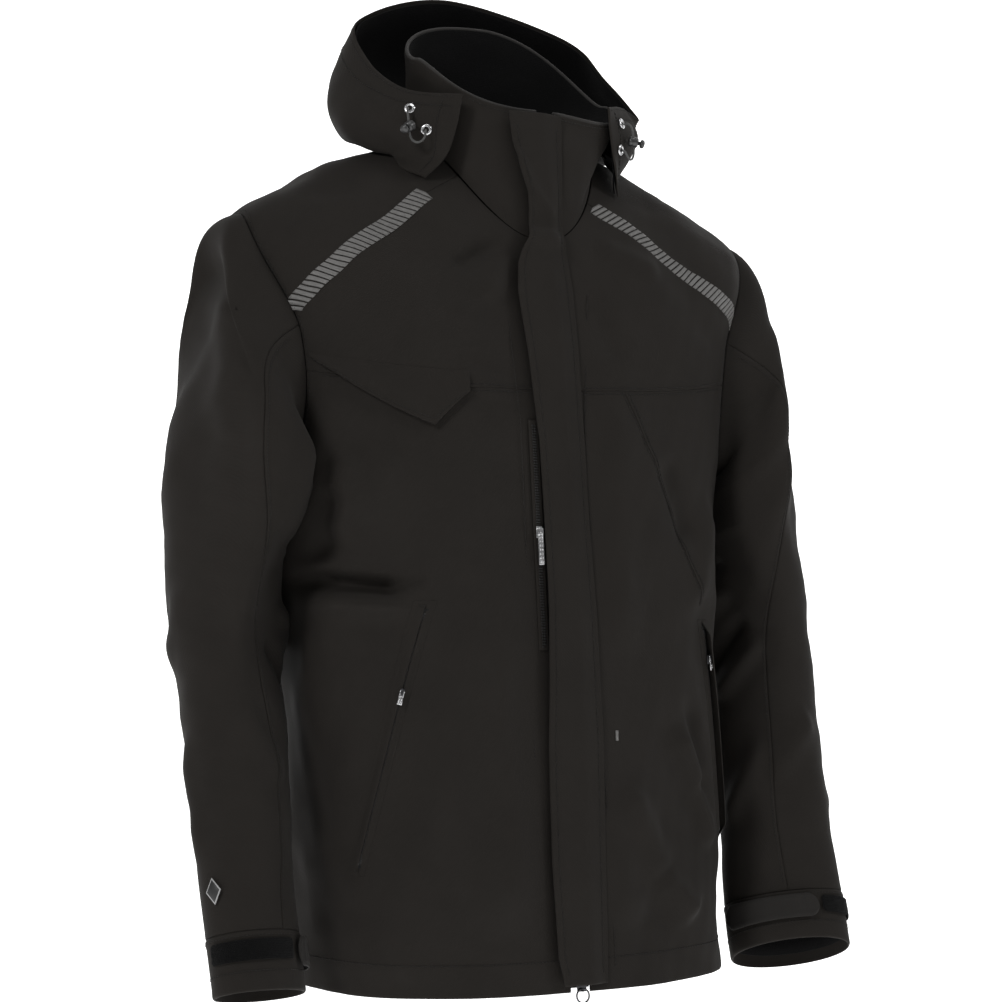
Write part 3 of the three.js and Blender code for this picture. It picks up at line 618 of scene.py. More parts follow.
def tube(points, radius, sides=10, profile=None):
    """Points and faces of a round bar along a line of points, with closed domed ends."""
    p = np.asarray(points, float)
    n = len(p)
    tangent = unit(np.gradient(p, axis=0))
    frame_up = np.zeros_like(p)
    guess = np.array([0.0, 0.0, 1.0]) if abs(tangent[0][2]) < 0.9 else np.array([1.0, 0.0, 0.0])
    for i in range(n):
        guess = guess - tangent[i] * (guess @ tangent[i])
        guess = guess / np.linalg.norm(guess)
        frame_up[i] = guess
    right = np.cross(tangent, frame_up)
    angles = np.arange(sides) * 2 * math.pi / sides
    size = np.full(n, float(radius)) if profile is None else radius * np.asarray(profile, float)
    rings = p[:, None] + size[:, None, None] * (
        np.cos(angles)[None, :, None] * frame_up[:, None] + np.sin(angles)[None, :, None] * right[:, None]
    )
    verts = rings.reshape(-1, 3).tolist() + [list(p[0]), list(p[-1])]
    faces = band_faces(sides, n - 1)
    first, last = n * sides, n * sides + 1
    for j in range(sides):
        k = (j + 1) % sides
        faces.append((first, k, j))
        faces.append((last, (n - 1) * sides + j, (n - 1) * sides + k))
    return np.array(verts), faces


def gather(parts):
    """Several (points, faces) joined into one."""
    points, faces, start = [], [], 0
    for p, f in parts:
        points.append(np.asarray(p, float))
        faces += [tuple(int(i) + start for i in one) for one in f]
        start += len(p)
    return np.concatenate(points), faces


def resample(path, step):
    path = np.asarray(path, float)
    run = distances(path)
    return columns(np.arange(0, run[-1], step), run, path)


STITCH_PITCH, STITCH_RADIUS = 3.4, 0.34
all_stitches = {}


def stitches(group, path, mirror=False):
    """Queues a row of sewn stitches along a path that already lies on the cloth's face."""
    fine = resample(path, STITCH_PITCH / 4)
    if mirror:
        fine = fine * [-1, 1, 1]
    parts = all_stitches.setdefault(group, [])
    for i in range(0, len(fine) - 4, 4):
        parts.append(tube(fine[i:i + 4], STITCH_RADIUS, 5, [0.55, 1, 1, 0.55]))


def on(at, u, v, out):
    """Points on a surface at a set distance out."""
    u, v = spread(u, v)
    return at(u, v) + normals(at, u, v) * np.asarray(out, float)[..., None]


# ---- the body's face, with its folds ----
def pocket_line(sign, k):
    (angle, share), (low_angle, low_share) = POCKET_LINES[sign]
    return lerp(angle, low_angle, k), lerp(share, low_share, k)


POCKET_ENDS = {sign: [torso(*pocket_line(sign, k)) * [sign, 1, 1] for k in (0.0, 1.0)] for sign in (1, -1)}
FRONT_FOLDS = [
    (60, 175, 98, 95, 16, 5.0), (98, 95, 132, 58, 14, 4.4), (122, 222, 158, 172, 12, 5.0),
    (158, 172, 166, 118, 11, 4.0), (140, 250, 168, 150, 9, -3.0), (30, 160, 60, 60, 24, 3.0),
    (-214, 362, -150, 356, 8, -8.0), (-150, 356, -128, 362, 6, -3.5), (-208, 344, -136, 338, 9, 5.0),
    (-186, 470, -196, 400, 11, 6.0), (-196, 440, -206, 380, 8, -4.0), (-92, 548, -40, 528, 9, 2.4),
    (-66, 300, -56, 70, 22, 3.0), (66, 520, 60, 300, 22, 2.6), (120, 470, 150, 400, 15, -3.0),
    (-150, 470, -185, 420, 14, 3.4), (185, 430, 150, 330, 15, 3.4), (-120, 205, -80, 60, 24, 3.6),
    (40, 620, 70, 560, 13, -2.0), (-45, 640, -95, 590, 15, 2.2), (60, 665, 120, 640, 11, 2.2),
    (-38, 668, -90, 640, 8, -3.0), (-30, 655, -60, 610, 10, 2.6), (-110, 300, -120, 130, 26, 2.4),
]
BACK_FOLDS = [
    (-150, 470, -60, 380, 20, 4.0), (150, 480, 50, 370, 20, 4.2), (-110, 350, 80, 330, 15, -3.0),
    (-60, 300, -90, 90, 26, 4.2), (90, 310, 110, 60, 26, 4.0), (10, 430, 0, 120, 28, -3.2),
    (-185, 300, -170, 90, 18, 3.0), (185, 290, 165, 80, 18, 3.0), (-130, 620, -30, 650, 16, 2.0),
    (40, 640, 140, 610, 16, 2.0),
]


def from_hole(angle, share):
    """1 on the armhole seam, more outside it and less inside."""
    folded = np.minimum(angle, 2 * math.pi - angle)
    return np.hypot((folded - HOLE_ANGLE) / HOLE_HALF_ANGLE, (share - HOLE_SHARE) / HOLE_HALF_SHARE)


def from_line(p, a, b):
    d = b - a
    t = np.clip(((p - a) @ d) / (d @ d), 0, 1)
    return np.linalg.norm(p - a - t[..., None] * d, axis=-1)


def body_relief(angle, share, real):
    calm = smooth((np.abs(real[..., 0]) - 14) / 55)
    calm = np.where(real[..., 1] > 0, 1.0, calm)
    for ends in POCKET_ENDS.values():
        calm = calm * (0.12 + 0.88 * smooth(from_line(real, *ends) / 34))
    calm = calm * smooth((from_hole(angle, share) - 1) / 0.45) * smooth((1 - share) / 0.09)
    folds = np.where(
        real[..., 1] < 20,
        strokes(real[..., 0], real[..., 2], FRONT_FOLDS) * smooth((20 - real[..., 1]) / 50),
        strokes(real[..., 0], real[..., 2], BACK_FOLDS) * smooth((real[..., 1] - 20) / 50),
    )
    soft = (2.4 * wobble(real * [1, 1, 0.45], 170, 11) + 1.1 * wobble(real * [1, 1, 0.6], 75, 12)
            + 0.25 * wobble(real, 28, 13))
    return calm * (2.4 * folds + 1.9 * soft)


def body_face(sign):
    def at(angle, share):
        angle, share = spread(angle, share)
        p = torso(angle, share)
        return p + normals(torso, angle, share) * body_relief(angle, share, p * [sign, 1, 1])[..., None]
    return at


FACE = {1: body_face(1), -1: body_face(-1)}


def body_panel(name, params, width, height, material, out=0.0, step=4.0, mirror=False, **kw):
    """A panel of the body with the armholes cut out along a clean curve."""
    u, v = ticks(width, step), ticks(height, step)
    grid_u, grid_v = np.meshgrid(u, v, indexing="ij")
    angle, share = params(grid_u, grid_v)
    e = from_hole(angle, share)
    inside = e < 1
    grow = np.where(inside, 1 / np.maximum(e, 0.05), 1.0)
    centre = np.where(angle > math.pi, 2 * math.pi - HOLE_ANGLE, HOLE_ANGLE)
    angle = centre + (angle - centre) * grow
    share = HOLE_SHARE + (share - HOLE_SHARE) * grow
    held = ~inside
    keep = held[:-1, :-1] | held[1:, :-1] | held[1:, 1:] | held[:-1, 1:]
    rim = -0.4 * np.clip(1 - (np.maximum(e, 1) - 1) * 70 / 1.6, 0, 1) ** 2
    sign = -1 if mirror else 1

    def relief(base, *_):
        return body_relief(angle, share, base * [sign, 1, 1]) + rim

    def flat_at(*_):
        return torso(angle, share)

    return cloth(name, flat_at, u, v, material, "shell", out, relief=relief, mirror=mirror, depth=0.5,
                 keep=keep, up=normals(torso, angle, share), **kw)


def front_params(u, v):
    share = lerp(0.0, CHEST_SEAM, v)
    return lerp(torso_angle_at(FRONT_EDGE, share), SIDE_SEAM, u), share


def chest_params(sign):
    def params(u, v):
        share = lerp(CHEST_SEAM, 0.998, v)
        return lerp(torso_angle_at(FRONT_EDGE, share), piping_angle(sign, share), u), share
    return params


def back_params(u, v):
    return lerp(SIDE_SEAM, 2 * math.pi - SIDE_SEAM, u), lerp(0.0, YOKE_BACK, v)


def yoke_params(u, v):
    share = lerp(0.68, 0.998, v)
    angle = lerp(piping_angle(1, share), 2 * math.pi - piping_angle(-1, share), u)
    from_side = np.minimum(angle, 2 * math.pi - angle)
    return angle, lerp(lerp(0.68, YOKE_BACK, smooth((from_side - 1.4) / 0.5)), 0.998, v)


for side, sign in SIDES:
    mirror = sign < 0
    body_panel(f"front_{side}", front_params, 370, 500, SHELL, mirror=mirror,
               stands_for=[f"front_panel_{side}"] + (["hem_band"] if sign > 0 else []))
    body_panel(f"chest_{side}", chest_params(sign), 190, 215, SHELL, mirror=mirror, roll="uUv",
               stands_for=[f"chest_yoke_{side}"])
body_panel("back", back_params, 560, 690, SHELL, step=5.0, stands_for=["back_panel"])
body_panel("yoke", yoke_params, 640, 190, SHELL, step=4.0, stands_for=["shoulder_yoke"], roll="uUv")


# ---- seams and stitching on the body ----
def body_path(points, sign, out, count=60):
    """A path on the body's face through (angle, share) points."""
    points = np.asarray(points, float)
    angle, share = columns(np.linspace(0, 1, count), np.linspace(0, 1, len(points)), points).T
    return on(FACE[sign], angle, share, out)


def seam_strip(name, at, path, half, material, body):
    """A narrow sewn strip along a path of (u, v) points on a surface, with turned edges."""
    path = np.asarray(path, float)
    length = distances(at(path[:, 0], path[:, 1]))[-1]
    pu, pv = columns(ticks(length, 3.0, False), np.linspace(0, 1, len(path)), path).T
    centre, up = at(pu, pv), normals(at, pu, pv)
    across = unit(np.cross(up, unit(np.gradient(centre, axis=0)))) * half
    profile = [(1, -0.4), (0.96, 0.5), (0.7, 1), (0, 0.82), (-0.7, 1), (-0.96, 0.5), (-1, -0.4)]
    outer = np.stack([centre + across * x + up * (0.15 + 0.5 * y) for x, y in profile], 0)
    inner = np.stack([centre + across * x + up * (0.15 - 0.9) for x, _ in profile], 0)
    points, faces, _ = thick(outer, inner)
    return put(name, points, faces, material, body)


PLACKET = [(20, -37), (300, -34), (505, -33), (640, -44)]
DIAGONAL = [(0.225, 0.628), (0.34, 0.56), (0.45, 0.507), (0.58, 0.448), (0.75, 0.37)]
for side, sign in SIDES:
    mirror = sign < 0
    face = FACE[sign]
    if sign > 0:
        seam_strip(f"diagonal_seam_{side}", face, DIAGONAL, 1.1, SHELL, "shell")
        for shift in (-0.016, 0.016):
            stitches("shell", body_path([(a + shift, s) for a, s in DIAGONAL], sign, 0.3))
    gap = torso_angle_at(FRONT_EDGE, np.array(CHEST_SEAM))
    for share in (CHEST_SEAM - 0.0045, CHEST_SEAM + 0.0045):
        stitches("shell", body_path([(gap, share), (1.02, share)], sign, 0.3), mirror)
    low = [(a, 0.031) for a in np.linspace(torso_angle_at(FRONT_EDGE, np.array(0.03)), SIDE_SEAM, 30)]
    stitches("shell", body_path(low, sign, 0.3, 200), mirror)
    for shift in (-0.009, 0.009):
        angle = SIDE_SEAM + shift
        stitches("shell", body_path([(angle, 0.01), (angle, 0.5)], sign, 0.3, 120), mirror)
    ring = np.linspace(0, 2 * math.pi, 160)
    stitches("shell", on(face, HOLE_ANGLE + (HOLE_HALF_ANGLE + 0.02) * np.cos(ring),
                         HOLE_SHARE + (HOLE_HALF_SHARE + 0.0065) * np.sin(ring), 0.15), mirror)
    heights = np.linspace(20, 640, 160)
    stitches("shell", on_front(table(PLACKET, heights), 0.35, heights), mirror)
back_seam = [(a, YOKE_BACK - 0.005) for a in np.linspace(2.02, 2 * math.pi - 2.02, 60)]
stitches("shell", body_path(back_seam, 1, 0.3, 240))
back_hem = [(a, 0.031) for a in np.linspace(SIDE_SEAM, 2 * math.pi - SIDE_SEAM, 60)]
stitches("shell", body_path(back_hem, 1, 0.3, 300))

# ---- slanted reflective bars along the yoke seam ----
BAR_PITCH, BAR_WIDE, BAR_HALF, BAR_SLANT = 5.6, 4.1, 8.0, 4.6
BAR_ENDS = {1: (0.708, 0.99), -1: (0.707, 0.952)}
for side, sign in SIDES:
    face = FACE[sign]
    run = np.linspace(*BAR_ENDS[sign], 300)
    line = face(piping_angle(sign, run), run)
    distance = distances(line)
    up = normals(face, piping_angle(sign, run), run)
    sideways = unit(np.cross(up, unit(np.gradient(line, axis=0))))
    across = np.linspace(-1, 1, 9)
    parts = []
    for start in np.arange(1.0, distance[-1] - BAR_WIDE, BAR_PITCH):
        rims = []
        for place in (start, start + BAR_WIDE):
            places = np.clip(place + across * BAR_SLANT, 0, distance[-1])
            middle, out, aside = (columns(places, distance, c) for c in (line, up, sideways))
            rims.append((middle + aside * across[:, None] * BAR_HALF, out))
        outer = np.stack([p + out * 0.45 for p, out in rims])
        inner = np.stack([p - out * 0.9 for p, out in rims])
        points, faces, _ = thick(np.flip(outer, 1), np.flip(inner, 1))
        parts.append((points, faces))
    points, faces = gather(parts)
    put(f"reflective_bars_{side}", points, faces, REFLECTIVE, "shell", [f"reflective_piping_{side}"],
        mirror=sign < 0)

# ---- collar ----
COLLAR_FOLDS = [
    (28, 700, 24, 770, 7, 1.2), (60, 700, 70, 780, 12, -2.4), (-60, 690, -52, 770, 10, -2.0),
    (-90, 720, -80, 800, 12, 2.0),
]


def collar_at(inset):
    def at(u, v):
        share = lerp(0.0, inset, v)
        gap = angle_at(FRONT_EDGE, lerp(BODY_RINGS[-1, 1], COLLAR_RIM[0], share), lerp(2.1, 2.7, share))
        return collar(lerp(gap, 2 * math.pi - gap, u), share)
    return at


def softened(relief):
    """A lining's share of the relief of the shell over it."""
    def at(base, u, v):
        return 0.8 * relief(base, u, v)
    return at


def collar_relief(base, _, v):
    calm = smooth((np.abs(base[..., 0]) - 12) / 25)
    calm = np.where(base[..., 1] > 0, 1, calm) * smooth(v / 0.15) * (0.5 + 0.5 * smooth((1 - v) / 0.2))
    folds = strokes(base[..., 0], base[..., 2], COLLAR_FOLDS)
    return calm * (folds + 1.5 * wobble(base, 85, 21) + 0.4 * wobble(base, 35, 22))


collar_u, collar_v = ticks(470, 3.5), ticks(115, 3.5)
cloth("collar", collar_at(1.0), collar_u, collar_v, SHELL, "shell", relief=collar_relief, thickness=1.6,
      roll="uUV", stands_for=["collar_outer"])
cloth("collar_inside", collar_at(0.985), collar_u, collar_v, LINING, "shell", out=-3.4, thickness=0.8,
      relief=softened(collar_relief), roll="", stands_for=["collar_lining"])
rim = on(collar_at(1.0), np.linspace(0, 1, 260), 0.999, -1.9)
points, faces = tube(np.concatenate([rim[:1] - [0, 0, 1.0], rim, rim[-1:] - [0, 0, 1.0]]), 1.75, 12)
put("collar_binding", points, faces, BINDING, "shell")
stitches("shell", on(collar_at(1.0), np.linspace(0.004, 0.996, 260), 0.955, 0.3))

# ---- storm flap ----
FLAP_FREE = [
    (6, -19), (32, -24.5), (116, -25.5), (221, -22.5), (336, -17), (433, -16.2), (487, -17.2), (566, -25),
    (621, -33), (645, -32), (664, -24), (677, -17.5), (691, -16.5), (711, -16.8), (734, -24.5), (758, -30.5),
    (782, -33),
]
FLAP_SEWN = [
    (6, 27), (50, 29), (220, 35), (335, 34.5), (422, 31.3), (488, 30.6), (568, 29.4), (624, 26.5), (648, 23),
    (676, 19), (693, 19.5), (742, 22), (782, 23.5),
]
FLAP_LOW, FLAP_HIGH, FLAP_WIDTH = 6.0, 783.0, 46.0
FLAP_CREASES = [(-27, 748, -13, 716, 4, 2.6), (-13, 716, 8, 686, 5, 2.6), (4, 640, 12, 560, 9, 1.4)]


def flap_at(u, v):
    height = lerp(FLAP_LOW, FLAP_HIGH, v)
    x = lerp(table(FLAP_FREE, height), table(FLAP_SEWN, height), u)
    return on_front(x, 0.0, height)


def flap_relief(base, u, v):
    height = lerp(FLAP_LOW, FLAP_HIGH, v)
    rise = 2.1 + 6.2 * smooth((1 - u) / 0.42) - 0.9 * smooth((0.2 - u) / 0.2)
    ripple = (1.1 * np.sin(height / 46 + 1.0) * smooth((1 - u) / 0.6)
              + 0.8 * wobble(base, 95, 31) * smooth((1 - u) / 0.5))
    pinch = 5.4 * np.exp(-(((height - 668) / 7) ** 2)) - 3.4 * np.exp(-(((height - 684) / 8) ** 2))
    pinch = pinch * (0.35 + 0.65 * smooth((1 - u) / 0.3))
    fold = strokes(base[..., 0], height, FLAP_CREASES)
    below = np.exp(-(((height - 640) / 30) ** 2)) * 1.6 * smooth((0.7 - u) / 0.5)
    return np.maximum(rise + ripple * 0.8 + pinch + fold + below, 1.6 + 4.4 * smooth((1 - u) / 0.35))


FLAP_BLEND = ("storm_flap", (34, -110, 400), (19, -110, 400))
cloth("storm_flap_cloth", flap_at, ticks(FLAP_WIDTH, 2.0), ticks(776, 3.2), SHELL, "shell", relief=flap_relief,
      thickness=1.5, roll="uvV", depth=0.7, stands_for=["storm_flap"], blend=FLAP_BLEND)
flap_run = np.linspace(0.012, 0.988, 400)
for inset in (5.0, 41.0):
    u = inset / FLAP_WIDTH
    line = flap_at(u, flap_run)
    stitches("flap", line + FRONT_OUT * (flap_relief(line, u, flap_run) + 0.2)[:, None])

# ---- zips ----
def chips(centres, along, out, size):
    """Moulded zip teeth: small blocks with bevelled tops."""
    across = np.cross(out, along)
    w, d, h = (s / 2 for s in size)
    levels = [(1.0, -d), (1.0, d * 0.3), (0.62, d)]
    corners = [(-1, -1), (1, -1), (1, 1), (-1, 1)]
    parts = []
    for c in centres:
        points = [c + across * w * sx * k + along * h * sz * k + out * y
                  for k, y in levels for sx, sz in corners]
        parts.append((points, [(3, 2, 1, 0), (8, 9, 10, 11), *band_faces(4, 2)]))
    return gather(parts)


def bar_on_front(name, x0, x1, out, thickness, low, high, material, step, stands_for):
    """A straight strip of cloth on the front line."""
    def at(u, v):
        return on_front(lerp(x0, x1, u), 0.0, lerp(low, high, v))
    cloth(name, at, ticks(x1 - x0, step), ticks(high - low, 8), material, "shell", out, thickness, depth=0.3,
          puff=0.05, stands_for=[stands_for])


for side, sign in SIDES:
    x0, x1 = sorted((2.6 * sign, 9 * sign))
    bar_on_front(f"main_tape_{side}", x0, x1, -0.6, 1.0, 4, 776, TRIM, 1.6, f"zip_tape_{side}")
    heights = np.arange(5.5 + (0.75 if sign < 0 else 0), 775, 3.0)
    points, faces = chips(on_front(sign * 1.75, 0.0, heights), FRONT_UP, FRONT_OUT, (2.7, 1.2, 1.7))
    put(f"main_teeth_{side}", points, faces, TEETH, "shell", flat=True)
bar_on_front("zip_guard", -21, 22, -8.5, 1.0, 30, 764, SHELL, 4, "inner_zip_guard")
bar_on_front("chest_tape", -25.5, -15.5, 1.7, 0.7, 300, 505, SHELL, 1.6, "chest_zip_tape")
for shift in (-1.1, 1.1):
    heights = np.arange(304 + shift, 501, 2.4)
    points, faces = chips(on_front(CHEST_ZIP_X + shift, 2.0, heights), FRONT_UP, FRONT_OUT, (1.9, 0.9, 1.3))
    put(f"chest_teeth_{'left' if shift > 0 else 'right'}", points, faces, TEETH, "shell", flat=True)


def solid(build):
    """Points and faces of what build makes in a new bmesh."""
    bm = bmesh.new()
    build(bm)
    bm.verts.index_update()
    points = [tuple(v.co) for v in bm.verts]
    faces = [tuple(v.index for v in f.verts) for f in bm.faces]
    bm.free()
    return points, faces


def rounded(width, depth, height, x=0.0, y=0.0, z=0.0, bevel=0.3, taper=1.0):
    def build(bm):
        bmesh.ops.create_cube(bm, size=1.0)
        for v in bm.verts:
            k = taper if v.co.z > 0 else 1.0
            v.co = Vector((v.co.x * width * k + x, v.co.y * depth + y, v.co.z * height + z))
        bmesh.ops.bevel(bm, geom=bm.edges[:], offset=bevel, segments=2, profile=0.6, affect="EDGES")
    return solid(build)


def lathe(profile, sides=32, close=False):
    """Points and faces of a profile of (radius, y) turned about y, solid where it ends on the axis."""
    angles = np.arange(sides) * 2 * math.pi / sides
    points, faces, starts = [], [], []
    for r, y in profile:
        starts.append(len(points))
        if r < 1e-6:
            points.append((0, y, 0))
        else:
            points += [(r * math.cos(a), y, r * math.sin(a)) for a in angles]
    last = len(profile) - 1
    pairs = [(i, i + 1) for i in range(last)] + ([(last, 0)] if close else [])
    for i, j in pairs:
        for k in range(sides):
            m = (k + 1) % sides
            a = [starts[i] + k, starts[i] + m] if profile[i][0] > 1e-6 else [starts[i]]
            b = [starts[j] + m, starts[j] + k] if profile[j][0] > 1e-6 else [starts[j]]
            faces.append(tuple(a + b))
    return points, [tuple(reversed(f)) for f in faces]


def torus(radius, wire, sides=40, around=12):
    points, faces = [], []
    for i in range(sides):
        a = 2 * math.pi * i / sides
        for j in range(around):
            b = 2 * math.pi * j / around
            r = radius + wire * math.cos(b)
            points.append((r * math.cos(a), wire * math.sin(b), r * math.sin(a)))
            i2, j2 = (i + 1) % sides, (j + 1) % around
            faces.append((i * around + j, i2 * around + j, i2 * around + j2, i * around + j2))
    return points, faces


UP, LOCAL_OUT = np.array([0, 0, 1.0]), np.array([0, 1.0, 0])


def placed(made, origin, along, out):
    """Local x across, y outwards and z along, as the frame's sliders are drawn."""
    y, along = unit(np.asarray(out, float)), np.asarray(along, float)
    z = unit(along - y * (along @ y))
    x = np.cross(y, z)
    points, faces = made
    p = np.asarray(points, float)
    return origin + p[:, :1] * x + p[:, 1:2] * y + p[:, 2:] * z, faces


def slider_parts(width, length):
    return gather([
        rounded(width, 0.8, length, 0, -PIVOT_OUT + 2.2, -length / 4, 0.35, 0.78),
        rounded(width * 0.94, 0.8, length * 0.96, 0, -PIVOT_OUT + 1.3, -length / 4, 0.35, 0.8),
        rounded(1.7, 1.9, 4.4, 0, -0.35, -0.2, 0.4, 0.8),
        rounded(2.2, 0.7, 5.6, 0, 0.55, -0.6, 0.3, 0.8),
    ])


def pull_parts(width, length, thickness, dots):
    parts = [
        rounded(1.0, thickness * 0.85, 4.6, -(width / 2 - 0.65), 0, -1.6, 0.28),
        rounded(1.0, thickness * 0.85, 4.6, width / 2 - 0.65, 0, -1.6, 0.28),
        rounded(width * 0.98, thickness * 0.9, 1.6, 0, 0, -4.2, 0.3),
        rounded(width, thickness, length - 6, 0, 0, -(length + 4) / 2, 0.45, 0.82),
    ]
    dot = lathe([(0, 0.55), (0.45, 0.42), (0.7, 0.1), (0.75, -0.3), (0, -0.3)], 10)
    for k in range(dots):
        z = -7.5 - k * (length - 11) / (dots - 1)
        for x in (-width * 0.2, width * 0.2):
            parts.append(placed(dot, np.array([x, thickness / 2, z]), UP, LOCAL_OUT))
    return gather(parts)


def hardware(name, made, origin, along, out, material, body, stands_for, mirror=False):
    points, faces = placed(made, origin, along, out)
    return put(name, points, faces, material, body, stands_for, mirror=mirror)


main_pivot = on_front(0, PIVOT_OUT, MAIN_SLIDER_HEIGHT)
low_pivot = on_front(0, PIVOT_OUT, LOW_SLIDER_HEIGHT)
chest_pivot = on_front(CHEST_ZIP_X, 2 + PIVOT_OUT - 0.9, CHEST_SLIDER_HEIGHT)
low_slider = gather([
    rounded(9, 0.8, 10, 0, -PIVOT_OUT + 2.2, 2.4, 0.35, 1.15),
    rounded(8.6, 0.8, 9.6, 0, -PIVOT_OUT + 1.3, 2.4, 0.35, 1.15),
    rounded(1.8, 3.2, 1.5, 0, 0.1, -1.8, 0.3),
])
RING_RADIUS = 6.2
ring_points, ring_faces = torus(RING_RADIUS, 0.8)
ring_points = [(x, y, z - RING_RADIUS) for x, y, z in ring_points]
for name, made, pivot, material, part in [
    ("main_slider", slider_parts(9, 13), main_pivot, DARK_METAL, "main_zip_slider"),
    ("main_pull", pull_parts(6, 26, 1.2, 5), main_pivot, PULL_GREY, "main_zip_pull"),
    ("bottom_slider", low_slider, low_pivot, DARK_METAL, "bottom_zip_slider"),
    ("bottom_ring", (ring_points, ring_faces), low_pivot, DARK_METAL, "bottom_zip_ring"),
    ("chest_slider", slider_parts(7, 10), chest_pivot, SILVER, "chest_zip_slider"),
    ("chest_pull", pull_parts(6, 33, 1.4, 7), chest_pivot, SILVER, "chest_zip_pull"),
]:
    hardware(name, made, pivot, FRONT_UP, FRONT_OUT, material, part, [part])

# ---- hand pockets ----
WELT_HEIGHTS = {1: 8.0, -1: 2.9}


def towards_ends(v):
    return smooth(v / 0.08) * smooth((1 - v) / 0.08)


def lip_relief(_, u, v):
    return 2.2 * towards_ends(v) * smooth((u - 0.15) / 0.8)


def uneven(height, size, seed):
    """A relief that only makes a piece a little uneven."""
    def relief(base, *_):
        return height * wobble(base, size, seed)
    return relief


for side, sign in SIDES:
    mirror, face = sign < 0, FACE[sign]

    def strip_at(near, far, low, high, face=face, sign=sign):
        def at(u, v):
            angle, share = pocket_line(sign, lerp(high, low, v))
            return face(angle + lerp(near, far, u), share)
        return at

    cloth(f"hand_tape_{side}", strip_at(-0.02, 0.02, 0.03, 0.97), ticks(9, 1.5), ticks(235, 5), TRIM, "shell",
          1.2, 0.8, depth=0.3, puff=0.0, mirror=mirror, stands_for=[f"hand_zip_tape_{side}"])
    uphill = unit(torso(*pocket_line(sign, 0.38)) - torso(*pocket_line(sign, 0.42)))
    for shift in (-0.0052, 0.0052):
        k = np.linspace(0.05, 0.95, 96)
        angle, share = pocket_line(sign, k + (0.005 if shift > 0 else 0))
        centres = on(face, angle + shift, share, 1.6)
        ups = normals(face, angle, share)
        points, faces = gather([chips([c], uphill, up, (1.9, 0.9, 1.4)) for c, up in zip(centres, ups)])
        row_name = "out" if shift > 0 else "in"
        put(f"hand_teeth_{row_name}_{side}", points, faces, TEETH, "shell", flat=True, mirror=mirror)

    def welt_relief(_, u, v, height=WELT_HEIGHTS[sign]):
        return height * towards_ends(v) * smooth((0.85 - u) / 0.8)

    edge = {"material": SHELL, "body": "shell", "out": 0.2, "thickness": 1.0, "depth": 0.4, "mirror": mirror}
    cloth(f"hand_welt_{side}", strip_at(0.0035, 0.075, 0.0, 1.0), ticks(16, 1.2), ticks(245, 4), **edge,
          relief=welt_relief, roll="u", stands_for=[f"hand_pocket_welt_{side}"])
    cloth(f"hand_lip_{side}", strip_at(-0.05, -0.0025, 0.0, 1.0), ticks(11, 1.2), ticks(245, 4), **edge,
          relief=lip_relief, roll="U")
    for k in (0.02, 0.98):
        angle, share = pocket_line(sign, k)
        stitches("shell", on(face, angle + np.linspace(0.004, 0.05, 16), share, 1.3), mirror)

    def bag_at(u, v, first=POCKET_LINES[sign][0][0] - 0.2):
        return torso(first + 0.44 * u, lerp(0.08, 0.36, v))

    cloth(f"hand_bag_{side}", bag_at, ticks(95, 5), ticks(255, 6), LINING, "shell", -12.5, 1.5,
          relief=uneven(0.6, 60, 41), mirror=mirror, stands_for=[f"hand_pocket_bag_{side}"])
    angle, share = pocket_line(sign, POCKET_SLIDERS[sign])
    out = normals(torso, np.array(angle), np.array(share))
    origin = torso(angle, share) + out * (1.6 + PIVOT_OUT)
    for piece, made, material in (("slider", slider_parts(5, 8), DARK_METAL),
                                  ("pull", pull_parts(4.6, 13, 1.2, 2), SILVER)):
        part = f"hand_zip_{piece}_{side}"
        hardware(f"hand_{piece}_{side}", made, origin, uphill, out, material, part, [part], mirror)

# ---- chest pocket ----
FLAP_POINT = 0.21


def chest_flap_at(u, v):
    slope = lerp(0.574, 0.648, (u - FLAP_POINT) / (1 - FLAP_POINT))
    low = np.where(u < FLAP_POINT, lerp(0.625, 0.574, u / FLAP_POINT), slope)
    return FACE[-1](lerp(0.24, 1.075, u), lerp(low, 0.655, v))


def chest_flap_relief(_, u, v):
    sewn = -4.4 * smooth((v - 0.15) / 0.8) - 3.0 * smooth((u - 0.8) / 0.2) * (1 - smooth((v - 0.15) / 0.8))
    return sewn + 1.4 * np.exp(-(((u - FLAP_POINT) / 0.16) ** 2)) * (1 - v)


def chest_flap_blend(sign):
    return "chest_pocket_flap", (145 * sign, -90, 566), (145 * sign, -90, 540)


flap_u = np.unique(np.concatenate([ticks(140, 3), [FLAP_POINT - 0.008, FLAP_POINT, FLAP_POINT + 0.008]]))
cloth("chest_flap", chest_flap_at, flap_u, ticks(46, 2.2), SHELL, "shell", 4.6, 1.2, relief=chest_flap_relief,
      depth=0.6, roll="uUv", mirror=True, stands_for=["chest_pocket_flap"], blend=chest_flap_blend(1))
u, v = np.linspace(0.02, 0.98, 160), np.full(160, 0.1)
stitches("chest_flap", on(chest_flap_at, u, v, 4.8 + chest_flap_relief(None, u, v)), True)


def chest_bag_at(u, v):
    return on_front(lerp(-109, -31, u), 0.0, lerp(360, 520, v))


cloth("chest_bag", chest_bag_at, ticks(78, 4), ticks(160, 5), LINING, "shell", -19.9, 1.2,
      relief=uneven(0.5, 50, 42), stands_for=["chest_pocket_bag"])

# ---- sleeves ----
def twist(share):
    return smooth((share - 0.3) / 0.55)


def front_seam(share):
    return 3.05 + 1.6 * twist(share)


def back_seam_angle(share):
    return -0.5 + 1.2 * twist(share)


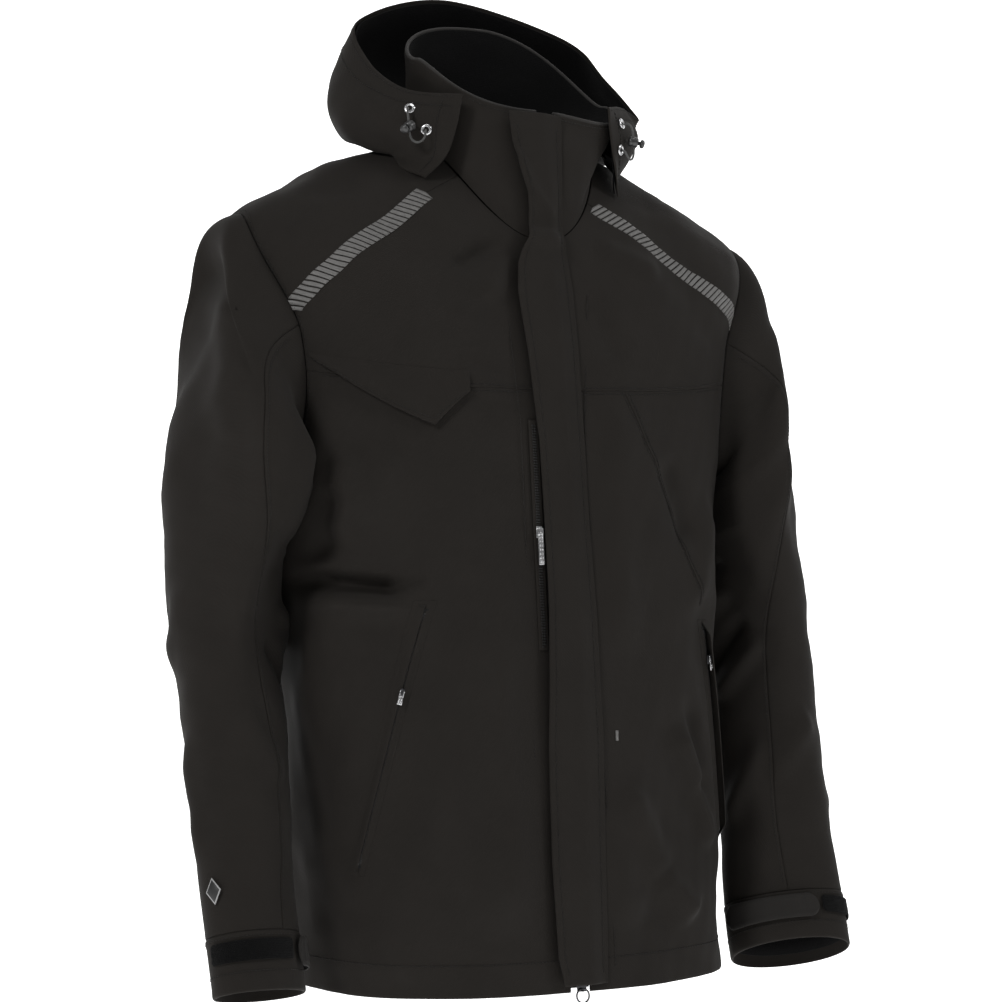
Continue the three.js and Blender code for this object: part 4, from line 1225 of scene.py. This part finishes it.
SLEEVE_FOLDS = {
    1: [
        (225, 300, 262, 330, 8, 4.0), (215, 330, 268, 372, 7, -4.0), (205, 352, 262, 392, 8, 3.6),
        (228, 270, 250, 296, 8, -2.4), (40, 330, 110, 350, 12, 2.4), (20, 300, 90, 318, 12, -2.0),
        (150, 180, 200, 300, 16, 2.4), (60, 200, 110, 330, 18, 2.4), (180, 420, 235, 470, 10, 2.6),
        (90, 440, 150, 500, 14, 2.2), (240, 440, 290, 500, 10, 2.6), (160, 90, 185, 170, 14, 2.2),
    ],
    -1: [
        (230, 310, 268, 345, 8, 3.4), (215, 345, 262, 380, 8, -3.0), (150, 140, 170, 330, 18, 2.6),
        (60, 180, 100, 360, 20, 2.6), (185, 400, 240, 455, 12, 3.0), (110, 420, 150, 520, 16, 2.4),
        (30, 330, 90, 350, 13, 2.0), (235, 250, 262, 290, 9, 2.4), (100, 100, 120, 200, 16, 2.0),
    ],
}
SLEEVE_FALL = {
    1: [(0.1, 0), (0.25, 8), (0.36, 4), (0.45, -6), (0.55, -8), (0.65, -2), (0.75, 0)],
    -1: [(0.05, 4), (0.14, 18), (0.21, 27), (0.27, 24), (0.33, 16), (0.38, 8), (0.41, 0), (0.46, -8),
         (0.53, -12), (0.62, -7), (0.74, 0)],
}
SLEEVE_RADIUS, SLEEVE_LENGTH = 52.0, 620.0
FALL_ANGLE, VALLEY_ANGLE = 3.9, 2.75


def sleeve_relief(angle, share, real, sign):
    turned = np.mod(angle, 2 * math.pi)
    around, full = turned * SLEEVE_RADIUS, 2 * math.pi * SLEEVE_RADIUS
    down = share * SLEEVE_LENGTH
    folds = sum(strokes(around + shift, down, SLEEVE_FOLDS[sign]) for shift in (-full, 0, full))
    calm = smooth(share / 0.12) * smooth((0.885 - share) / 0.1)
    soft = (1.7 * wobble(real * [1, 1, 0.5], 120, 51) + 0.8 * wobble(real * [1, 1, 0.7], 55, 52)
            + 0.2 * wobble(real, 24, 53))
    soft = soft - 15 * smooth(share / 0.1) * smooth((0.4 - share) / 0.2) * np.clip(np.sin(angle), 0, 1)
    fall = table(SLEEVE_FALL[sign], share) * np.exp(-(((turned - FALL_ANGLE) / 0.62) ** 2))
    valley = -6 * np.exp(-(((turned - VALLEY_ANGLE) / 0.34) ** 2))
    valley = valley * smooth((share - 0.1) / 0.12) * smooth((0.5 - share) / 0.12)
    crown = 1.2 * np.exp(-(((share - 0.02) / 0.02) ** 2)) * (0.5 + 0.5 * np.sin(angle))
    return calm * (2.2 * folds + 1.8 * soft + fall + valley) + crown


def sleeve_face(sign):
    def at(angle, share):
        angle, share = spread(angle, share)
        p = arm(sign)(angle, share)
        up = normals(arm(sign), angle, np.clip(share, 0.002, 0.998))
        return p + up * sleeve_relief(angle, share, p * [sign, 1, 1], sign)[..., None]
    return at


def sleeve_blend(side, sign):
    """The sleeve body's name, with a point near the armhole and one near the elbow, in garment millimetres."""
    return f"sleeve_{side}", (222 * sign, 0, 485), (312 * sign, 0, 325)


def full_turn(share):
    return 0 * share + 2 * math.pi


def cuff_relief(base, _, v):
    return 0.5 * wobble(base, 45, 61) * smooth(v / 0.3) + 0.5 * np.exp(-(((v - 0.06) / 0.05) ** 2))


def rounded_strip(sleeve_at, limits, low, high, corner_u, corner_v):
    """A strip round the cuff between two angles, with its corners cut round."""
    def at(u, v):
        over = np.clip((np.abs(u - 0.5) * 2 - (1 - corner_u)) / corner_u, 0, 1)
        inset = (v - 0.5) * (1 - over**2.4 * corner_v) + 0.5
        return sleeve_at(lerp(*limits, u), lerp(low, high, inset))
    return at


def tab_relief(_, u, v):
    from_middle = np.abs(v - 0.5)
    frame_line = np.exp(-(((from_middle - 0.36) / 0.05) ** 2)) * 0.35
    grip = 0.45 * np.maximum(0, np.sin(u * 60)) * smooth((0.3 - u) / 0.04)
    return frame_line + grip * smooth((0.42 - from_middle) / 0.06)


for side, sign in SIDES:
    mirror = sign < 0
    body = f"sleeve_{side}"
    blend = sleeve_blend(side, 1)
    face, plain = sleeve_face(sign), arm(sign)

    def panel_at(low, high, first, last, face=face):
        def at(u, v):
            share = lerp(first, last, v)
            return face(lerp(low(share), high(share), u), share)
        return at

    def under_end(share):
        return back_seam_angle(share) + 2 * math.pi

    lengths = ticks(SLEEVE_LENGTH, 4.2)
    halves = (("top", back_seam_angle, front_seam, 190), ("under", front_seam, under_end, 150))
    for half, low, high, wide in halves:
        cloth(f"sleeve_{half}_{side}", panel_at(low, high, 0.0, CUFF_START), ticks(wide, 4.0), lengths, SHELL,
              "shell", mirror=mirror, stands_for=[f"sleeve_{half}_panel_{side}"], blend=blend)
    cloth(f"sleeve_inside_{side}", panel_at(np.zeros_like, full_turn, 0.03, 0.985), np.arange(60) / 60,
          ticks(600, 9, False), LINING, "shell", -5.0, 0.8, roll="", mirror=mirror, ring=True, blend=blend)
    shares = np.linspace(0.03, CUFF_START - 0.01, 260)
    for seam in (front_seam, back_seam_angle):
        stitches(f"sleeve_{side}", on(face, seam(shares) + 0.055, shares, 0.3), mirror)

    def cuff_at(u, v, plain=plain):
        return plain(2 * math.pi * u, lerp(CUFF_START, 1.0, v))

    cloth(f"cuff_{side}", cuff_at, np.arange(96) / 96, ticks(46, 2.2), SHELL, body, 0.3, 2.0,
          relief=cuff_relief, roll="vV", mirror=mirror, ring=True, stands_for=[f"cuff_band_{side}"])
    for share in (0.975, 0.931):
        stitches(f"cuff_{side}", on(plain, np.linspace(0, 2 * math.pi, 160), share, 0.8), mirror)
    cloth(f"loop_patch_{side}", rounded_strip(plain, CUFFS[side]["patch"], 0.936, 0.962, 0.06, 0.4),
          ticks(90, 1.6), ticks(26, 1.3), LOOP_PILE, body, 2.9, 0.9, depth=0.4, puff=0.0,
          relief=uneven(0.14, 3.2, 62), mirror=mirror, stands_for=[f"cuff_loop_patch_{side}"])
    cloth(f"tab_{side}", rounded_strip(plain, CUFFS[side]["tab"], 0.932, 0.97, 0.22, 0.75), ticks(80, 1.1),
          ticks(29, 1.3), TAB, f"cuff_tab_{side}", 6.0, 1.5, depth=0.7, puff=0.0, relief=tab_relief,
          mirror=mirror, stands_for=[f"cuff_tab_{side}"])

# ---- badge on the right sleeve: a blank rhombus with a light edge ----
badge_out = normals(sleeve, np.array(3.15), np.array(0.87))
badge_origin = sleeve(3.15, 0.87) + badge_out * 3.3
badge_along = np.array([0.05, 0.3, 1])
outline = [(0, 0, 11.5), (7.6, 0, 0), (0, 0, -11.5), (-7.6, 0, 0)]


def plate(corners, low, high):
    """A flat plate with bevelled edges from a convex outline in local x and z."""
    c = np.array(corners, float)
    small = c * (1 - 0.5 / np.linalg.norm(c, axis=1, keepdims=True))
    n = len(c)
    points = np.concatenate([c + [0, low, 0], c + [0, high - 0.25, 0], small + [0, high, 0]])
    faces = [tuple(range(n)), tuple(range(3 * n - 1, 2 * n - 1, -1))]
    for level in (0, n):
        faces += [(level + (i + 1) % n, level + i, level + n + i, level + n + (i + 1) % n) for i in range(n)]
    return points, faces


for name, made, material, part in (("rim", plate(outline, -0.6, 0.3), BADGE_EDGE, ["sleeve_badge"]),
                                   ("face", plate(np.array(outline) * 0.86, 0.0, 0.55), BADGE, [])):
    hardware(f"badge_{name}", made, badge_origin, badge_along, badge_out, material, "sleeve_right", part, True)

# ---- hood ----
HOOD_FOLDS = [
    (-150, 30, -90, 70, 14, 3.2), (-60, 20, -20, 60, 16, -3.0), (40, 30, 90, 75, 15, 3.4),
    (110, 20, 150, 60, 13, -2.6), (-20, 70, 40, 95, 14, 2.2), (-185, 20, -150, 90, 9, 1.8),
    (160, 20, 190, 80, 9, 1.8),
]


def hood_at(u, v):
    return hood(1 - 2 * u, v)


def hood_lining_at(u, v):
    return hood_at(lerp(0.01, 0.99, u), lerp(0.02, 0.985, v))


def hood_relief(base, u, v):
    side = 1 - 2 * u
    calm = smooth(v / 0.2) * smooth((1.02 - v) / 0.2) * (1 - 0.9 * smooth((np.abs(side) - 0.72) / 0.08))
    folds = strokes(side * 210, v * 110, HOOD_FOLDS) + 2.0 * wobble(base, 90, 71) + 0.7 * wobble(base, 40, 72)
    return calm * folds + 0.25 * wobble(base, 24, 73) * smooth(v / 0.1)


HOOD_BLEND = ("hood", (0, 0, 763), (0, -8.6, 783.3))
hood_u, hood_v = ticks(480, 3.6), ticks(115, 3.4)
cloth("hood_cloth", hood_at, hood_u, hood_v, SHELL, "shell", relief=hood_relief, thickness=1.5, depth=1.0,
      stands_for=["hood_shell"], blend=HOOD_BLEND)
cloth("hood_inside", hood_lining_at, hood_u, hood_v, LINING, "shell", -3.4, 0.9, relief=softened(hood_relief),
      roll="", stands_for=["hood_lining"], blend=HOOD_BLEND)
around, up_edge = np.linspace(0.01, 0.99, 300), np.linspace(0.05, 0.95, 60)
for u, v, out in [(around, 0.86, 0.3), (around, 0.965, 0.3), (0.03, up_edge, 0.35), (0.97, up_edge, 0.35)]:
    stitches("hood", on(hood_at, u, v, out + hood_relief(hood_at(u, v), u, v)))

# ---- drawcord eyelets, cords and locks ----
eyelet_shape = lathe([
    (2.3, 0.0), (4.9, 0.0), (5.05, 0.3), (4.85, 0.8), (4.3, 1.2), (3.5, 1.35), (2.8, 1.15), (2.35, 0.6),
], 40, True)
lock_shape = lathe([
    (0, -4.6), (3.0, -4.6), (3.9, -4.3), (4.7, -3.5), (4.9, -2.2), (4.6, -1.6), (4.9, -1.0), (4.9, 1.2),
    (4.6, 1.7), (4.9, 2.3), (4.6, 3.6), (3.8, 4.4), (2.5, 4.6), (2.1, 4.3), (2.1, 1.8), (0, 1.8),
])
plunger_shape = lathe([
    (0, 2.2), (1.7, 2.2), (1.7, 6.8), (3.4, 7.0), (4.0, 7.8), (4.05, 8.8), (3.6, 10.0), (2.2, 10.8), (0, 11.0),
])


def cord_points(sign):
    route = np.array(DRAWCORDS[sign]["route"]) * [sign, 1, 1]
    rows = np.concatenate([np.arange(len(route))[:, None], route], 1)
    return through(rows, np.linspace(0, len(route) - 1, 40))


for side, sign in SIDES:
    mirror = sign < 0
    for place in ("upper", "lower"):
        hood_side, rise = DRAWCORDS[sign][place]
        out = normals(hood_at, np.array((1 - hood_side) / 2), np.array(rise))
        origin = hood(hood_side, rise) + out * 0.9
        hardware(f"eyelet_{place}_{side}", placed(eyelet_shape, np.zeros(3), UP, LOCAL_OUT), origin, UP, out,
                 SILVER, "hood", [f"hood_eyelet_{place}_{side}"], mirror)
    centre, pointing = np.array(DRAWCORDS[sign]["lock"]), np.array(DRAWCORDS[sign]["plunger"])
    lock = hardware(f"lock_{side}", lock_shape, centre, UP, pointing, MOULDED, "hood",
                    [f"cord_lock_body_{side}"], mirror)
    plunger = f"cord_lock_plunger_{side}"
    hardware(f"plunger_{side}", plunger_shape, centre, UP, pointing, MOULDED, plunger, [plunger], mirror)
    path = row(cord_points(sign))
    data = bpy.data.curves.new(f"drawcord_{side}", "CURVE")
    data.dimensions, data.use_fill_caps = "3D", True
    data.bevel_depth, data.bevel_resolution = CORD_DIAMETER / 2000, 4
    spline = data.splines.new("POLY")
    spline.points.add(len(path) - 1)
    for point, place in zip(spline.points, path):
        point.co = (*place, 1)
    data.materials.append(CORD)
    cord_object = bpy.data.objects.new(f"drawcord_{side}", data)
    bpy.context.scene.collection.objects.link(cord_object)
    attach(cord_object, "hood")
    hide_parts(f"hood_drawcord_{side}")

# ---- inside: body lining and hanger loop ----
def lining_params(u, v):
    share = lerp(0.03, 0.99, v)
    gap = torso_angle_at(24, share)
    return lerp(gap, 2 * math.pi - gap, u), share


body_panel("body_inside", lining_params, 1180, 740, LINING, out=-6.5, step=8.0, thickness=0.8, roll="",
           stands_for=["body_lining"])
LOOP_WIDE, LOOP_DEEP, LOOP_CORNER, LOOP_Y = 45.0, 9.0, 2.6, 55
loop = []
for cx, cy, start in ((1, 1, 0), (-1, 1, 90), (-1, -1, 180), (1, -1, 270)):
    middle = np.array([cx * (LOOP_WIDE / 2 - LOOP_CORNER), cy * (LOOP_DEEP / 2 - LOOP_CORNER)])
    for turn in np.radians(start + 18 * np.arange(6)):
        loop.append(middle + LOOP_CORNER * np.array([math.cos(turn), math.sin(turn)]))
loop = np.array(loop)
inward = loop - 1.5 * unit(loop * [0.35, 1.0])
heights = (762.8, 763.6, 766.0, 768.4, 769.2)
outer, inner = (np.array([[(x, LOOP_Y + y, z) for z in heights] for x, y in line]) for line in (loop, inward))
points, faces, _ = thick(outer, inner, ring=True)
put("loop", points, faces, LOOP_TAPE, "shell", ["hanger_loop"])

# ---- small tag on the left front ----
TAG_ANGLE, TAG_SHARES = 0.176, np.linspace(0.24, 0.25, 5)
tag_angles, tag_shares = np.meshgrid(TAG_ANGLE + np.array([-1, 1]) * 0.006, TAG_SHARES, indexing="ij")
points, faces, _ = thick(*(on(FACE[1], tag_angles, tag_shares, out) for out in (0.9, -0.2)))
put("side_tag", points, faces, REFLECTIVE, "shell")

# ---- sewn stitches, one piece to each group ----
STITCH_BLENDS = {"flap": FLAP_BLEND, "chest_flap": chest_flap_blend(-1), "hood": HOOD_BLEND}
STITCH_BLENDS.update({f"sleeve_{side}": sleeve_blend(side, sign) for side, sign in SIDES})
for group, parts in all_stitches.items():
    points, faces = gather(parts)
    name = "body" if group == "shell" else group
    body = group.replace("cuff", "sleeve") if group.startswith("cuff") else "shell"
    put(f"{name}_stitches", points, faces, THREAD, body, blend=STITCH_BLENDS.get(group))

# ---- stage ----
FLOOR, FLOOR_HALF, WALL_RADIUS = -1.25, 8.0, 2
curve = [(-4.0, FLOOR), (4.0, FLOOR)]
for turn in np.linspace(0.2, 1.57, 8):
    curve.append((4.0 + WALL_RADIUS * math.sin(turn), FLOOR + WALL_RADIUS - WALL_RADIUS * math.cos(turn)))
curve.append((6.0, 6.0))
verts = [(x, y, z) for y, z in curve for x in (-FLOOR_HALF, FLOOR_HALF)]
floor_mesh = bpy.data.meshes.new("floor")
floor_mesh.from_pydata(verts, [], [(2 * i, 2 * i + 1, 2 * i + 3, 2 * i + 2) for i in range(len(curve) - 1)])
floor_material, tree, shader = new_material("floor", 0.9)
place = node(tree, "ShaderNodeTexCoord").outputs["Object"]
pale = ramp(tree, noise(tree, place, 3.0), [(0.3, (0.9, 0.9, 0.9)), (0.7, (0.93, 0.93, 0.93))])
tree.links.new(pale, shader.inputs["Base Color"])
socket(shader, "Emission Color", (1, 1, 1, 1))
socket(shader, "Emission Strength", 0.95)
floor_mesh.materials.append(floor_material)
floor_mesh.polygons.foreach_set("use_smooth", [True] * len(floor_mesh.polygons))
floor = bpy.data.objects.new("floor", floor_mesh)
bpy.context.scene.collection.objects.link(floor)
floor.rotation_euler = (0, 0, CAMERA_AZIMUTH)

world = bpy.data.worlds.new("studio")
world.use_nodes = True
background = world.node_tree.nodes["Background"]
socket(background, "Color", (1, 1, 1, 1))
socket(background, "Strength", 0.16)
bpy.context.scene.world = world


def area_light(name, place, aim, size, power):
    data = bpy.data.lights.new(name, "AREA")
    data.shape, data.size, data.energy = "DISK", size, power
    light = bpy.data.objects.new(name, data)
    bpy.context.scene.collection.objects.link(light)
    light.location = place
    light.rotation_euler = (Vector(aim) - Vector(place)).to_track_quat("-Z", "Y").to_euler()


area_light("key", (-3.1, -1.5, 1.8), (0, 0, -0.3), 0.9, 68)
area_light("fill", (2.7, -1.9, 1.9), (0, 0, -0.4), 1.1, 40)
area_light("top", (0.2, -0.6, 2.4), (0, 0, -0.2), 1.4, 16)
bpy.context.scene.view_settings.view_transform = "Standard"
